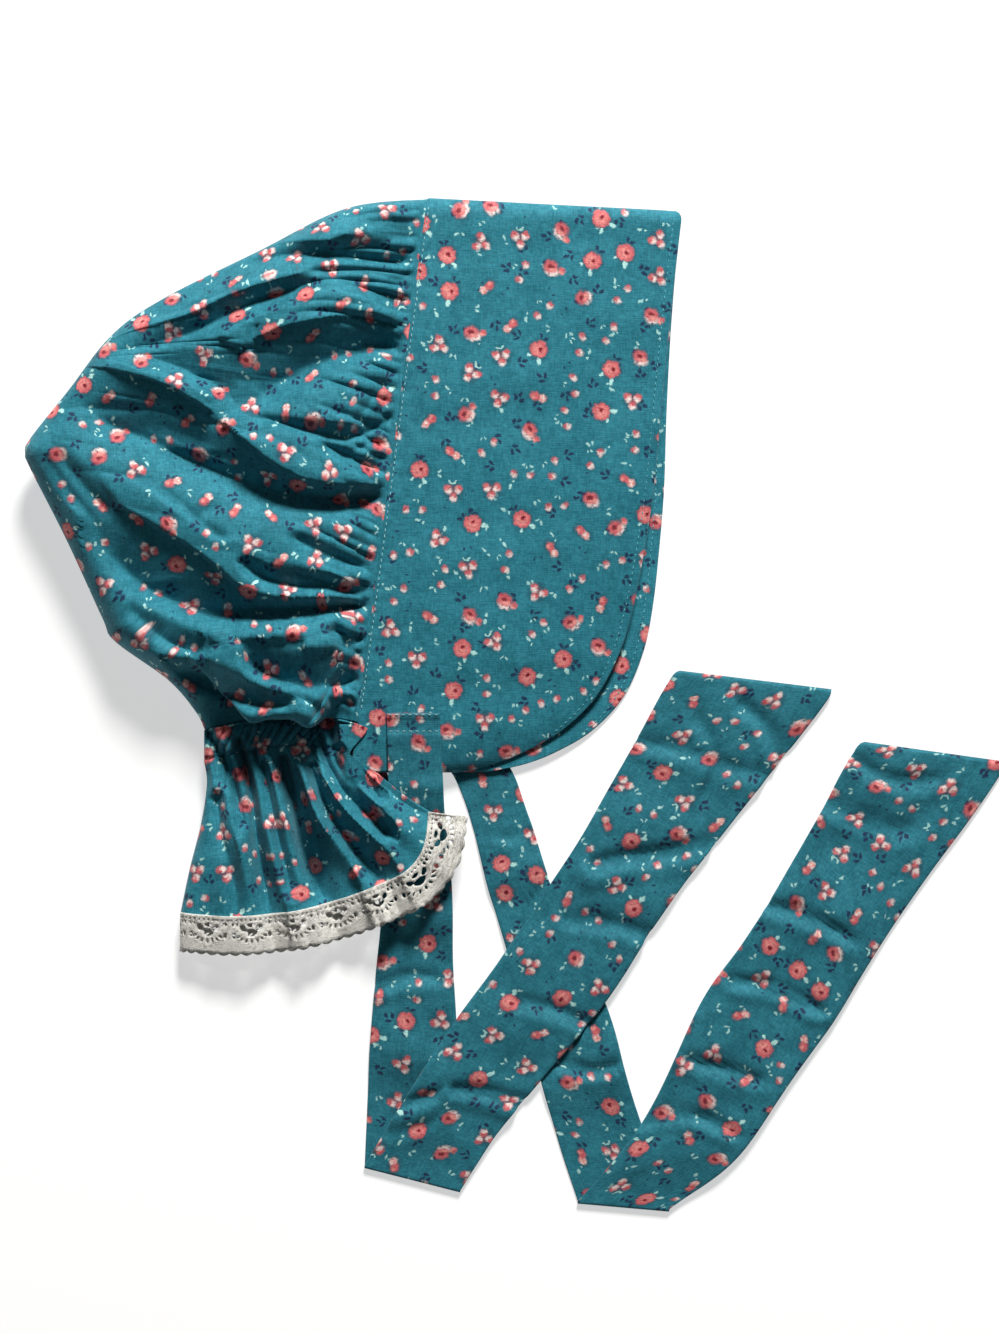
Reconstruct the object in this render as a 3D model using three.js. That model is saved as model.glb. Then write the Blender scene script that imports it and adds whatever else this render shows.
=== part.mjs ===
import * as THREE from "three";
import { mergeVertices } from "three/addons/utils/BufferGeometryUtils.js";

// A cotton sunbonnet lying on its side, doubled along its centre line, in millimetres with +Z up.
// The face opening looks towards +X and the top of the head towards +Y. The far half lies on the
// surface and the near half is over it, so the head's hollow is between them.

// Cloth
const clothWall = 1.2;
const brimWall = 2.2;
const casingWall = 2.0;
const laceWall = 1.0;
const seamGap = 0.8;
const neckGap = 0.4;
const layGap = 0.3;
const sewnGap = 0.8;

// The seam of crown and brim, from the head's centre line down to its foot
const crownSeam = 291;
const seamLean = 39;

// Brim: a stiff double panel folded over the head's centre line. Its low corners reach past the
// seam's foot, and it bows most beside the seam.
const brimDepth = 142;
const brimPastSeam = 28;
const brimDrop = crownSeam + brimPastSeam;
const foldDip = 7;
const foldRollSeam = 9;
const foldRollFront = 6.5;
const bowAtSeam = 7.2;
const bowAtFront = 2.4;
const brimSettle = 4;
const farShift = 19.5;
const farShiftCurve = 1.6;

// Crown: a bag gathered to the brim along its seam and to the neck below
const crownDepth = 183;
const crownPuff = 27;
const outlineLift = 13;
const outlineRoll = 30;
const gatherPitch = 19.4;
const gatherHeight = 2.4;
const gatherReach = 0.3;
const foldDepth = 13;
const farSwell = 2.4;
const farGather = 0.3;
const swellPitch = 22;
const seamBlend = 0.07;
const neckBlend = 0.06;
const puffRise = 0.3;
const puffFade = 0.2;
const puffBackDrop = 0.35;

// Neck: an elastic casing, and the ruffle with its lace below it
const neckWidth = 85;
const neckDrop = 4;
const neckArch = 7;
const casingWidth = 18;
const neckLift = 15;
const neckRoll = 8;
const casingPuffs = 10;
const casingPuffHeight = 0.9;
const ruffleDrop = 85;
const ruffleReach = 133;
const hemLift = 15;
const ruffleOpens = 0.3;
const farHemSwell = 2.2;
const farHemWaves = 31;
const fluteDepth = 6;
const laceWidth = 21;
const lacePitch = 22;
const laceHoleLong = 6;
const scallopHeight = 0.9;
const laceSlopeKept = 0.4;
const nearLaceSag = 0.14;
const farLaceSag = 0.02;

// Ties: a flat double band each, folded over once where it lies
const tieWall = 1.2;
const tieLength = 590;
const tieWidth = 56;
const creaseRoll = 0.95;
const offPanelReach = 12;

const floorMid = brimWall / 2;
const clothMid = clothWall / 2;
const tieMid = tieWall / 2;

// Brim sections from the top fold down: where the panel's rear and front edges lie, as shares of
// its drop and of its depth.
const brimSections = [
  { drop: 0, rear: 0, front: 1 },
  { drop: 0.17, rear: 0, front: 1.008 },
  { drop: 0.345, rear: 0, front: 1.022 },
  { drop: 0.485, rear: 0, front: 1.036 },
  { drop: 0.59, rear: 0, front: 1.034 },
  { drop: 0.7, rear: 0, front: 1.022 },
  { drop: 0.785, rear: 0, front: 0.993 },
  { drop: 0.865, rear: 0, front: 0.924 },
  { drop: 0.925, rear: 0, front: 0.808 },
  { drop: 0.963, rear: 0.006, front: 0.672 },
  { drop: 0.986, rear: 0.045, front: 0.545 },
  { drop: 1, rear: 0.078, front: 0.4 },
];

// Crown outline from the seam's top over the head to its upper back corner, and from there round the
// back of the head to the neck: shares of the crown's depth behind the seam's foot, and of the
// seam's height above it.
const crownTop = [
  { back: 0.034, up: 0.979 },
  { back: 0.294, up: 0.898 },
  { back: 0.586, up: 0.805 },
];
const crownBack = [
  { back: 0.739, up: 0.736 },
  { back: 0.871, up: 0.63 },
  { back: 0.985, up: 0.54 },
  { back: 1, up: 0.513 },
  { back: 0.985, up: 0.484 },
  { back: 0.877, up: 0.349 },
  { back: 0.77, up: 0.2 },
  { back: 0.733, up: 0.156 },
  { back: 0.571, up: 0.081 },
  { back: 0.49, up: 0.02 },
];

// How the cloth's lines cross the near crown: a line that starts at a share of the seam, from its top,
// ends at a share of the back outline.
const crownLines = [
  { seam: 0, back: 0 },
  { seam: 0.2, back: 0.03 },
  { seam: 0.45, back: 0.09 },
  { seam: 0.56, back: 0.16 },
  { seam: 0.7, back: 0.34 },
  { seam: 0.78, back: 0.5 },
  { seam: 0.86, back: 0.68 },
  { seam: 0.94, back: 0.87 },
  { seam: 1, back: 1 },
];

// Valleys and ridges of the near crown. A valley runs along the cloth's lines from a share of the
// seam and drifts across them on its way back; its depth is a share of the fold depth (a ridge is
// below zero), and its widths towards the top and towards the neck are shares of the seam.
const crownFolds = [
  { at: 0.1, drift: 0, from: -0.1, to: 0.8, depth: 0.55, upper: 0.022, lower: 0.02 },
  { at: 0.15, drift: 0.02, from: -0.1, to: 0.9, depth: 0.6, upper: 0.024, lower: 0.024 },
  { at: 0.19, drift: 0.16, from: -0.1, to: 0.75, depth: 0.9, upper: 0.055, lower: 0.045 },
  { at: 0.33, drift: 0.04, from: 0.1, to: 0.7, depth: -0.3, upper: 0.05, lower: 0.05 },
  { at: 0.435, drift: 0.12, from: -0.1, to: 0.5, depth: 0.75, upper: 0.035, lower: 0.022 },
  { at: 0.5, drift: 0.02, from: 0.05, to: 0.6, depth: -0.35, upper: 0.03, lower: 0.02 },
  { at: 0.555, drift: 0.05, from: -0.1, to: 1, depth: 1.3, upper: 0.045, lower: 0.03 },
  { at: 0.6, drift: 0.02, from: -0.1, to: 0.2, depth: 0.5, upper: 0.014, lower: 0.014 },
  { at: 0.65, drift: 0.03, from: 0.15, to: 0.9, depth: -0.45, upper: 0.04, lower: 0.04 },
  { at: 0.7, drift: -0.02, from: -0.1, to: 0.25, depth: 0.55, upper: 0.016, lower: 0.014 },
  { at: 0.745, drift: 0, from: -0.1, to: 0.4, depth: 0.55, upper: 0.018, lower: 0.014 },
  { at: 0.785, drift: -0.01, from: -0.1, to: 0.95, depth: 1.05, upper: 0.03, lower: 0.022 },
  { at: 0.84, drift: 0, from: 0.05, to: 0.9, depth: -0.35, upper: 0.022, lower: 0.022 },
  { at: 0.895, drift: 0, from: 0.02, to: 0.45, depth: 1, upper: 0.032, lower: 0.02 },
  { at: 0.955, drift: -0.01, from: 0.3, to: 0.92, depth: 0.75, upper: 0.025, lower: 0.02 },
];

// Ruffle sides from the casing down to the hem, and its hems from the back to the front edge:
// shares of the ruffle's reach forward of its back line and of its drop.
const ruffleBack = [
  [0, 0],
  [0.012, 0.15],
  [-0.015, 0.42],
  [-0.06, 0.7],
  [-0.1, 1],
];
const ruffleHemNear = [
  [-0.1, 1],
  [0.12, 1.02],
  [0.36, 0.99],
  [0.56, 0.915],
  [0.72, 0.82],
  [0.85, 0.72],
  [0.925, 0.56],
  [0.947, 0.327],
];
const ruffleHemFar = [
  [-0.1, 1],
  [0.12, 1.02],
  [0.36, 0.99],
  [0.56, 0.915],
  [0.7, 0.8],
  [0.79, 0.62],
  [0.83, 0.38],
];
const ruffleFrontNear = [
  [0.63, -0.047],
  [0.69, 0.1],
  [0.778, 0.238],
  [0.858, 0.268],
  [0.947, 0.327],
];
const ruffleFrontFar = [
  [0.74, -0.047],
  [0.76, 0.1],
  [0.79, 0.25],
  [0.83, 0.38],
];

// Flutes of the near ruffle from the casing to the hem, in the columns of the crown's folds, with
// places and widths as shares along the hem.
const ruffleFlutes = [
  { at: 0.06, drift: 0.02, from: 0, to: 1.3, depth: 0.3, upper: 0.035, lower: 0.04 },
  { at: 0.18, drift: 0.11, from: 0, to: 1.3, depth: 0.85, upper: 0.07, lower: 0.05 },
  { at: 0.38, drift: 0.04, from: 0, to: 1.3, depth: 0.4, upper: 0.04, lower: 0.04 },
  { at: 0.6, drift: -0.06, from: 0, to: 1.3, depth: 1, upper: 0.06, lower: 0.09 },
  { at: 0.77, drift: -0.03, from: 0, to: 1.3, depth: 0.9, upper: 0.045, lower: 0.05 },
  { at: 0.86, drift: 0.03, from: -0.1, to: 0.85, depth: 0.5, upper: 0.03, lower: 0.03 },
];

// Ties row by row from the sewn root to the cut end. A row crosses the band at its middle point
// (shares of the tie's length from the seam's foot), turned by some degrees, and as wide as a
// share of the tie's width. Its lift counts bands that it clears, besides the fold's own height. The
// row marked crease is where the band is turned back over itself.
const nearTieRows = [
  { x: 0.053, y: 0.009, turn: 0, width: 0.53, lift: 0 },
  { x: 0.054, y: -0.022, turn: 0, width: 0.53, lift: 0 },
  { x: 0.055, y: -0.046, turn: 0, width: 0.54, lift: 0 },
  { x: 0.056, y: -0.072, turn: 0, width: 0.57, lift: 6.6 },
  { x: 0.057, y: -0.102, turn: 0, width: 0.62, lift: 4.2 },
  { x: 0.057, y: -0.14, turn: 0, width: 0.66, lift: 3.2 },
  { x: 0.056, y: -0.18, turn: 0, width: 0.69, lift: 1.7 },
  { x: 0.054, y: -0.23, turn: 0, width: 0.74, lift: 0 },
  { x: 0.053, y: -0.3, turn: -2, width: 0.82, lift: 0 },
  { x: 0.051, y: -0.37, turn: -8, width: 0.92, lift: 0 },
  { x: 0.052, y: -0.432, turn: -14.3, width: 1.01, lift: 0, crease: true },
  { x: 0.088, y: -0.374, turn: -22, width: 1, lift: 0.2 },
  { x: 0.132, y: -0.313, turn: -27, width: 1.01, lift: 0.5 },
  { x: 0.186, y: -0.243, turn: -30, width: 1.09, lift: 0.8 },
  { x: 0.238, y: -0.164, turn: -31, width: 1.12, lift: 0.9 },
  { x: 0.305, y: -0.065, turn: -24, width: 1.24, lift: 0.3 },
  { x: 0.377, y: 0.04, turn: -7, width: 1.55, lift: 0 },
];
const farTieRows = [
  { x: 0.086, y: 0.009, turn: 0, width: 0.53, lift: 0 },
  { x: 0.095, y: -0.022, turn: 5, width: 0.53, lift: 0 },
  { x: 0.119, y: -0.05, turn: 12, width: 0.56, lift: 0 },
  { x: 0.137, y: -0.1, turn: 15, width: 0.6, lift: 0 },
  { x: 0.156, y: -0.165, turn: 13, width: 0.63, lift: 0 },
  { x: 0.194, y: -0.266, turn: 8, width: 0.78, lift: 0 },
  { x: 0.218, y: -0.352, turn: 3, width: 0.84, lift: 0 },
  { x: 0.252, y: -0.458, turn: -5, width: 0.96, lift: 0, crease: true },
  { x: 0.315, y: -0.395, turn: -21, width: 1.0, lift: 0.2 },
  { x: 0.372, y: -0.297, turn: -33, width: 1.14, lift: 0.2 },
  { x: 0.412, y: -0.24, turn: -34, width: 1.18, lift: 0.2 },
  { x: 0.469, y: -0.148, turn: -33, width: 1.22, lift: 0.1 },
  { x: 0.547, y: -0.028, turn: -8, width: 1.44, lift: 0 },
];

// Where the far tie's root lifts the brim: its middle from the first row, and the reach of the lift
// before it fades and after, as shares of the tie's width.
const rootPatch = { forward: 0.15, down: 0.3, flat: 0.75, fade: 1.5 };

// Lace cell: its pierced gaps, as shares of the cell across and down the lace, with half sizes as
// shares of the longest gap.
const laceHoles = [
  { across: 0.5, down: 0.22, long: 0.34, high: 0.12 },
  { across: 0.27, down: 0.4, long: 0.4, high: 0.17 },
  { across: 0.73, down: 0.4, long: 0.4, high: 0.17 },
  { across: 0.5, down: 0.62, long: 0.5, high: 0.3 },
];
const laceHoleSides = 5;
const scallopsPerCell = 3;

// How finely each piece is divided
const crownSeamSteps = 56;
const crownBackSteps = 14;
const brimFrontSteps = 5;
const brimDropSteps = 18;
const ruffleHemSteps = 22;
const ruffleDropSteps = 5;
const stepsPerPuff = 3;
const tieSteps = 2;
const tieStepsPerRow = 1;
const creaseSteps = 4;
const outlinePoints = 240;

const mix = THREE.MathUtils.lerp;

// Goes smoothly from 0 to 1 as x goes from low to high.
function ease(x, low, high) {
  return THREE.MathUtils.smoothstep(x, low, high);
}

// The value of a table's column where its key column has reached x.
function along(table, key, column, x) {
  let i = 0;
  while (i < table.length - 2 && x > table[i + 1][key]) i += 1;
  const low = table[i];
  const high = table[i + 1];
  const share = THREE.MathUtils.clamp((x - low[key]) / (high[key] - low[key]), 0, 1);
  return mix(low[column], high[column], share);
}

// How far up a quarter round of radius r has come at a distance from its edge: 0 at the edge, 1 past r.
function rollShare(distance, r) {
  const inside = Math.max(0, 1 - distance / r);
  return Math.sqrt(1 - Math.min(1, inside * inside));
}

// The distance from a rolled edge, after going a share of the way round the roll and over to the end.
function rolledDistance(share, r, length) {
  const way = share * ((Math.PI / 2) * r + length - r);
  const turn = way / r;
  return turn < Math.PI / 2 ? r * (1 - Math.cos(turn)) : way - (Math.PI / 2 - 1) * r;
}

// The depth that a table of folds gives at a share across the cloth's lines and a share along them.
function foldAt(table, across, way) {
  let sum = 0;
  for (const fold of table) {
    const away = across - fold.at - fold.drift * way;
    const width = away < 0 ? fold.upper : fold.lower;
    const start = ease(way, fold.from, fold.from + 0.1);
    const stop = 1 - ease(way, fold.to - 0.25, fold.to);
    sum += fold.depth * start * stop * Math.exp(-((away / width) ** 2));
  }
  return sum;
}

// Triangles of a grid of points, rows[j][i], added to a list of loose triangles.
function addGrid(position, rows, turned) {
  for (let j = 0; j < rows.length - 1; j += 1) {
    for (let i = 0; i < rows[j].length - 1; i += 1) {
      const [a, b, c, d] = [rows[j][i], rows[j][i + 1], rows[j + 1][i + 1], rows[j + 1][i]];
      const corners = turned ? [a, c, b, a, d, c] : [a, b, c, a, c, d];
      for (const corner of corners) position.push(corner.x, corner.y, corner.z);
    }
  }
}

// A closed wall with its middle on an open surface of loose triangles.
function wallRound(position, wall) {
  const loose = new THREE.BufferGeometry();
  loose.setAttribute("position", new THREE.Float32BufferAttribute(position, 3));
  const surface = mergeVertices(loose, 1e-3);
  const triangles = [];
  for (let k = 0; k < surface.index.count; k += 3) {
    const corners = [0, 1, 2].map((n) => surface.index.getX(k + n));
    if (new Set(corners).size === 3) triangles.push(corners);
  }
  surface.setIndex(triangles.flat());
  surface.computeVertexNormals();
  const points = surface.attributes.position;
  const normals = surface.attributes.normal;
  const count = points.count;
  const both = new Float32Array(count * 6);
  const point = new THREE.Vector3();
  const normal = new THREE.Vector3();
  for (let k = 0; k < count; k += 1) {
    normal.fromBufferAttribute(normals, k);
    point.fromBufferAttribute(points, k).addScaledVector(normal, wall / 2).toArray(both, k * 3);
    point.addScaledVector(normal, -wall).toArray(both, (count + k) * 3);
  }
  const edges = new Set(triangles.flatMap(([a, b, c]) => [`${a} ${b}`, `${b} ${c}`, `${c} ${a}`]));
  const index = [];
  for (const [a, b, c] of triangles) {
    index.push(a, b, c, a + count, c + count, b + count);
    for (const [from, to] of [[a, b], [b, c], [c, a]]) {
      if (edges.has(`${to} ${from}`)) continue;
      index.push(to, from, from + count, to, from + count, to + count);
    }
  }
  const geometry = new THREE.BufferGeometry();
  geometry.setAttribute("position", new THREE.BufferAttribute(both, 3));
  geometry.setIndex(index);
  return geometry;
}

function gridWall(rows, wall) {
  const position = [];
  addGrid(position, rows, false);
  return wallRound(position, wall);
}

// The brim's rear edge, which is the crown's seam, in plan at some distance below the top fold.
function seamX(drop) {
  return seamLean * (1 - drop / crownSeam);
}

function farSlip(drop) {
  return farShift * (Math.max(0, drop) / brimDrop) ** farShiftCurve;
}

// Height of the near brim panel's middle surface, c being 0 at the seam and 1 at the front edge.
function brimHeight(c, drop) {
  const roll = mix(foldRollSeam, foldRollFront, c);
  const share = Math.min(1, drop / brimDrop);
  const bow = mix(bowAtSeam, bowAtFront, c) * Math.sin(Math.PI * share);
  return floorMid + 2 * roll + bow - brimSettle * share;
}

// How far the far panel is lifted by the tie that is sewn under it.
function overTieRoot(x, y) {
  const root = farTieRows[0];
  const dx = x - root.x * tieLength - rootPatch.forward * tieWidth;
  const dy = y - root.y * tieLength + rootPatch.down * tieWidth;
  const away = Math.hypot(dx, dy) / tieWidth;
  return (tieWall + layGap) * (1 - ease(away, rootPatch.flat, rootPatch.fade));
}

// A point of the brim at some distance below the top fold and a share from the seam to the front edge.
function brimPoint(near, drop, c) {
  const roll = mix(foldRollSeam, foldRollFront, c);
  const share = drop / brimDrop;
  const rear = along(brimSections, "drop", "rear", share);
  const front = along(brimSections, "drop", "front", share);
  const x = seamX(drop) + brimDepth * mix(rear, front, c) + (near ? 0 : farSlip(drop));
  const y = crownSeam - drop - foldDip * c * (1 - share);
  const middle = floorMid + roll;
  const half = near ? brimHeight(c, drop) - middle : overTieRoot(x, y) - roll;
  return new THREE.Vector3(x, y, middle + rollShare(drop, roll) * half);
}

function brim() {
  const rows = [];
  for (let j = -brimDropSteps; j <= brimDropSteps; j += 1) {
    const row = [];
    for (let i = 0; i <= brimFrontSteps; i += 1) {
      const c = i / brimFrontSteps;
      const roll = mix(foldRollSeam, foldRollFront, c);
      const share = 1 - (1 - Math.abs(j) / brimDropSteps) ** 1.15;
      row.push(brimPoint(j > 0, rolledDistance(share, roll, brimDrop), c));
    }
    rows.push(row);
  }
  return gridWall(rows, brimWall);
}

// Crown outline in plan, in its two stretches, and the neck's line from the seam's foot to the back.
const neckBack = new THREE.Vector2(-neckWidth, -neckDrop);
const placed = (row) => new THREE.Vector2(-row.back * crownDepth, row.up * crownSeam);
const outline = new THREE.SplineCurve([
  new THREE.Vector2(seamLean, crownSeam),
  ...crownTop.map(placed),
  ...crownBack.map(placed),
  neckBack,
]);
outline.arcLengthDivisions = 400;
const outlineWay = outline.getSpacedPoints(outlinePoints);
const corner = placed(crownBack[0]);
const cornerShare = nearestOutline(corner).share;

function nearestOutline(point) {
  let best = Infinity;
  let share = 0;
  for (let k = 0; k < outlinePoints; k += 1) {
    const [a, b] = [outlineWay[k], outlineWay[k + 1]];
    const step = b.clone().sub(a);
    const part = THREE.MathUtils.clamp(point.clone().sub(a).dot(step) / step.lengthSq(), 0, 1);
    const distance = a.clone().addScaledVector(step, part).distanceTo(point);
    if (distance < best) {
      best = distance;
      share = (k + part) / outlinePoints;
    }
  }
  return { distance: best, share };
}

function neckPlan(q) {
  const arch = neckArch * Math.sin(Math.PI * q) * (1 - 0.4 * q);
  return new THREE.Vector2(-neckWidth * q, arch - neckDrop * q);
}

// Height of the neck's line, q being 0 at the front and 1 at the back.
function neckHeight(near, q) {
  const front = brimPoint(near, crownSeam, 0).z;
  const side = near ? neckLift : casingWall / 2 + casingPuffHeight;
  const middle = clothMid + neckRoll;
  const round = rollShare((1 - q) * neckWidth, neckRoll);
  return middle + round * (mix(front, side, ease(q, 0, 0.3)) - middle);
}

// A point of the crown's plan: s goes from the top to the neck, t from the seam to the outline.
function crownPlan(s, t) {
  const w = mix(s, along(crownLines, "seam", "back", s), t);
  const top = outline.getPointAt(cornerShare * t);
  const bottom = neckPlan(t);
  const seam = new THREE.Vector2(seamX(crownSeam * s), crownSeam * (1 - s));
  const back = outline.getPointAt(mix(cornerShare, 1, along(crownLines, "seam", "back", s)));
  const foot = new THREE.Vector2(0, 0);
  const head = outline.getPointAt(0);
  const plan = top.multiplyScalar(1 - w).addScaledVector(bottom, w);
  plan.addScaledVector(seam, 1 - t).addScaledVector(back, t);
  plan.addScaledVector(head, -(1 - t) * (1 - w)).addScaledVector(foot, -(1 - t) * w);
  return plan.addScaledVector(corner, -t * (1 - w)).addScaledVector(neckBack, -t * w);
}

// Waves of the gathers: uneven, because their pitch swings along the seam.
function gatherWave(way) {
  const turn = (2 * Math.PI * way) / gatherPitch;
  return Math.sin(turn + 0.7 * Math.sin(turn * 0.27)) + 0.25 * Math.sin(1.9 * turn + 1);
}

function crownPoint(near, s, t) {
  const plan = crownPlan(s, t);
  const { distance, share } = nearestOutline(plan);
  const belly = Math.sin(Math.PI * share);
  const roll = mix(foldRollSeam, neckRoll, share) + outlineRoll * belly;
  const middle = mix(floorMid + foldRollSeam, clothMid + neckRoll, share) + outlineLift * belly;
  const round = rollShare(distance, roll);
  const edge = brimPoint(near, crownSeam * s, 0);
  const seamFree = ease(t, 0, seamBlend);
  const neckFree = ease(1 - s, 0, neckBlend);
  const slip = near ? 0 : farSlip(crownSeam * s) * (1 - t);
  const gathered = ease(t, 0, 0.05) * (1 - ease(t, 0.08, gatherReach)) * ease(s, 0, 0.04);
  const gather = gatherHeight * gathered * gatherWave(crownSeam * s);
  let z;
  if (near) {
    const risen = Math.sqrt(ease(t, -0.02, puffRise)) * ease(1 - s, 0, puffFade);
    const top = brimHeight(0, crownSeam * s) + crownPuff * risen * (1 - puffBackDrop * t);
    const creased = foldDepth * foldAt(crownFolds, s, t) * seamFree * neckFree;
    z = middle + round * (top - middle) + round * round * (gather - creased);
  } else {
    const swell = 0.5 + 0.5 * Math.sin(plan.y / swellPitch) * Math.sin(plan.x / swellPitch);
    const low = clothMid + farSwell * swell + farGather * (gatherHeight * gathered + gather);
    z = middle + round * (low - middle);
  }
  z = mix(edge.z, mix(neckHeight(near, t), z, neckFree), seamFree);
  if (t === 0) plan.x = seamX(crownSeam * s) - seamGap;
  return new THREE.Vector3(plan.x + slip, plan.y, z);
}

function crown() {
  const position = [];
  for (const near of [true, false]) {
    const rows = [];
    for (let j = 0; j <= crownSeamSteps; j += 1) {
      const s = rolledDistance(j / crownSeamSteps, foldRollSeam, crownSeam) / crownSeam;
      const row = [];
      for (let i = 0; i <= crownBackSteps; i += 1) {
        const t = 1 - rolledDistance(1 - i / crownBackSteps, outlineRoll, crownDepth) / crownDepth;
        row.push(j === 0 || i === crownBackSteps ? crownPoint(true, s, t) : crownPoint(near, s, t));
      }
      rows.push(row);
    }
    addGrid(position, rows, near);
  }
  return wallRound(position, clothWall);
}

// A point of the neck's band at some distance below the crown: side is -1 at the far front, 0 at the
// back and 1 at the near front.
function neckPoint(side, below) {
  const near = side > 0;
  const q = 1 - rolledDistance(Math.abs(side), neckRoll, neckWidth) / neckWidth;
  const plan = neckPlan(q);
  const front = seamX(crownSeam + below) - 2 * seamGap + (near ? 0 : farSlip(crownSeam + below));
  return new THREE.Vector3(plan.x + front * (1 - q), plan.y - below, neckHeight(near, q));
}

function casing() {
  const columns = 2 * casingPuffs * stepsPerPuff;
  const rows = [neckGap, casingWidth - neckGap].map((below) => {
    const row = [];
    for (let i = 0; i <= columns; i += 1) {
      const side = (2 * i) / columns - 1;
      const point = neckPoint(side, below);
      const puff = casingPuffHeight * Math.cos(2 * Math.PI * casingPuffs * side);
      point.z += Math.sign(side) * puff * ease(Math.abs(side), 0.04, 0.1);
      row.push(point);
    }
    return row;
  });
  return gridWall(rows, casingWall);
}

// The ruffle's plan, from its edges.
function ruffleScale([forward, down]) {
  return new THREE.Vector2(neckBack.x + forward * ruffleReach, neckBack.y - casingWidth - down * ruffleDrop);
}

function ruffleCurve(points) {
  const curve = new THREE.SplineCurve(points.map(ruffleScale));
  curve.arcLengthDivisions = 200;
  return curve;
}

const backEdge = ruffleCurve(ruffleBack);
const hems = { near: ruffleCurve(ruffleHemNear), far: ruffleCurve(ruffleHemFar) };
const fronts = { near: ruffleCurve(ruffleFrontNear), far: ruffleCurve(ruffleFrontFar) };

// A point of the ruffle: side as for the neck's band, t from the casing to the hem.
function rufflePoint(side, t) {
  const near = side > 0;
  const hem = near ? hems.near : hems.far;
  const front = near ? fronts.near : fronts.far;
  const span = hem.getLength();
  const away = rolledDistance(Math.abs(side), neckRoll, span);
  const s = away / span;
  const q = 1 - Math.min(1, rolledDistance(Math.abs(side), neckRoll, neckWidth) / neckWidth);
  const top = neckPoint(side, casingWidth);
  const low = hem.getPointAt(Math.min(1, s));
  const back = backEdge.getPointAt(t);
  const fore = front.getPointAt(t);
  const plan = ["x", "y"].map((axis) => {
    const edges = mix(top[axis], low[axis], t) + mix(back[axis], fore[axis], s);
    const first = mix(backEdge.getPointAt(0)[axis], front.getPointAt(0)[axis], s);
    const last = mix(backEdge.getPointAt(1)[axis], front.getPointAt(1)[axis], s);
    return edges - mix(first, last, t);
  });
  const middle = clothMid + neckRoll;
  const round = rollShare(away, neckRoll);
  const open = ease(t, 0, ruffleOpens);
  const casingHeight = neckHeight(near, q);
  if (!near) {
    const swell = 0.5 + 0.5 * Math.sin(s * farHemWaves + t);
    const z = mix(casingHeight, clothMid + farHemSwell * swell, open);
    return new THREE.Vector3(...plan, mix(middle, z, mix(1, round, open)));
  }
  const flute = fluteDepth * foldAt(ruffleFlutes, s, t) * (1 - ease(s, 0.88, 1));
  const z = mix(casingHeight, hemLift - flute, open);
  return new THREE.Vector3(...plan, mix(middle, z, mix(1, round, open)));
}

function ruffle() {
  const rows = [];
  for (let j = 0; j <= ruffleDropSteps; j += 1) {
    const row = [];
    for (let i = -ruffleHemSteps; i <= ruffleHemSteps; i += 1) {
      row.push(rufflePoint(i / ruffleHemSteps, mix(neckGap / ruffleDrop, 1, j / ruffleDropSteps)));
    }
    rows.push(row);
  }
  return gridWall(rows, clothWall);
}

// A point of the lace: side along the hem, v from the hem (0) to the scalloped edge (1).
function lacePoint(side, v) {
  const step = 0.004;
  const a = rufflePoint(Math.max(-1, side - step), 1);
  const b = rufflePoint(Math.min(1, side + step), 1);
  const inner = rufflePoint(side, 0.93);
  const hem = rufflePoint(side, 1);
  const run = new THREE.Vector2(b.x - a.x, b.y - a.y).normalize();
  const square = run.set(run.y, -run.x).multiplyScalar(Math.sign(side));
  const flat = Math.abs(side) < 0.06 ? new THREE.Vector2(-0.03, -1) : square;
  const out = seamGap + v * laceWidth;
  const floor = laceWall / 2;
  const slope = (hem.z - inner.z) / Math.max(1, hem.distanceTo(inner));
  const sag = side > 0 ? nearLaceSag : farLaceSag;
  const z = Math.max(floor, hem.z + (laceSlopeKept * slope - sag) * out);
  return new THREE.Vector3(hem.x + flat.x * out, hem.y + flat.y * out, z);
}

// One lace cell as flat outlines: across 0 to 1 along the lace, down 0 to 1.
function laceCell(cellLength) {
  const corners = [];
  for (let i = 0; i <= 2 * scallopsPerCell; i += 1) {
    const dip = i % 2 ? 0 : scallopHeight / laceWidth;
    corners.push(new THREE.Vector2(i / (2 * scallopsPerCell), 1 - dip));
  }
  const edges = [[1, 0.5], [1, 0], [0.5, 0], [0, 0], [0, 0.5]];
  const contour = [...corners, ...edges.map(([x, y]) => new THREE.Vector2(x, y))];
  const holes = laceHoles.map((hole) => {
    const ring = [];
    for (let i = 0; i < laceHoleSides; i += 1) {
      const turn = (2 * Math.PI * i) / laceHoleSides;
      const x = hole.across + (Math.cos(turn) * hole.long * laceHoleLong) / cellLength;
      const y = hole.down + (Math.sin(turn) * hole.high * laceHoleLong) / laceWidth;
      ring.push(new THREE.Vector2(x, y));
    }
    return ring;
  });
  if (THREE.ShapeUtils.isClockWise(contour)) contour.reverse();
  for (const ring of holes) if (!THREE.ShapeUtils.isClockWise(ring)) ring.reverse();
  return { contour, holes, faces: THREE.ShapeUtils.triangulateShape(contour, holes) };
}

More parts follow.
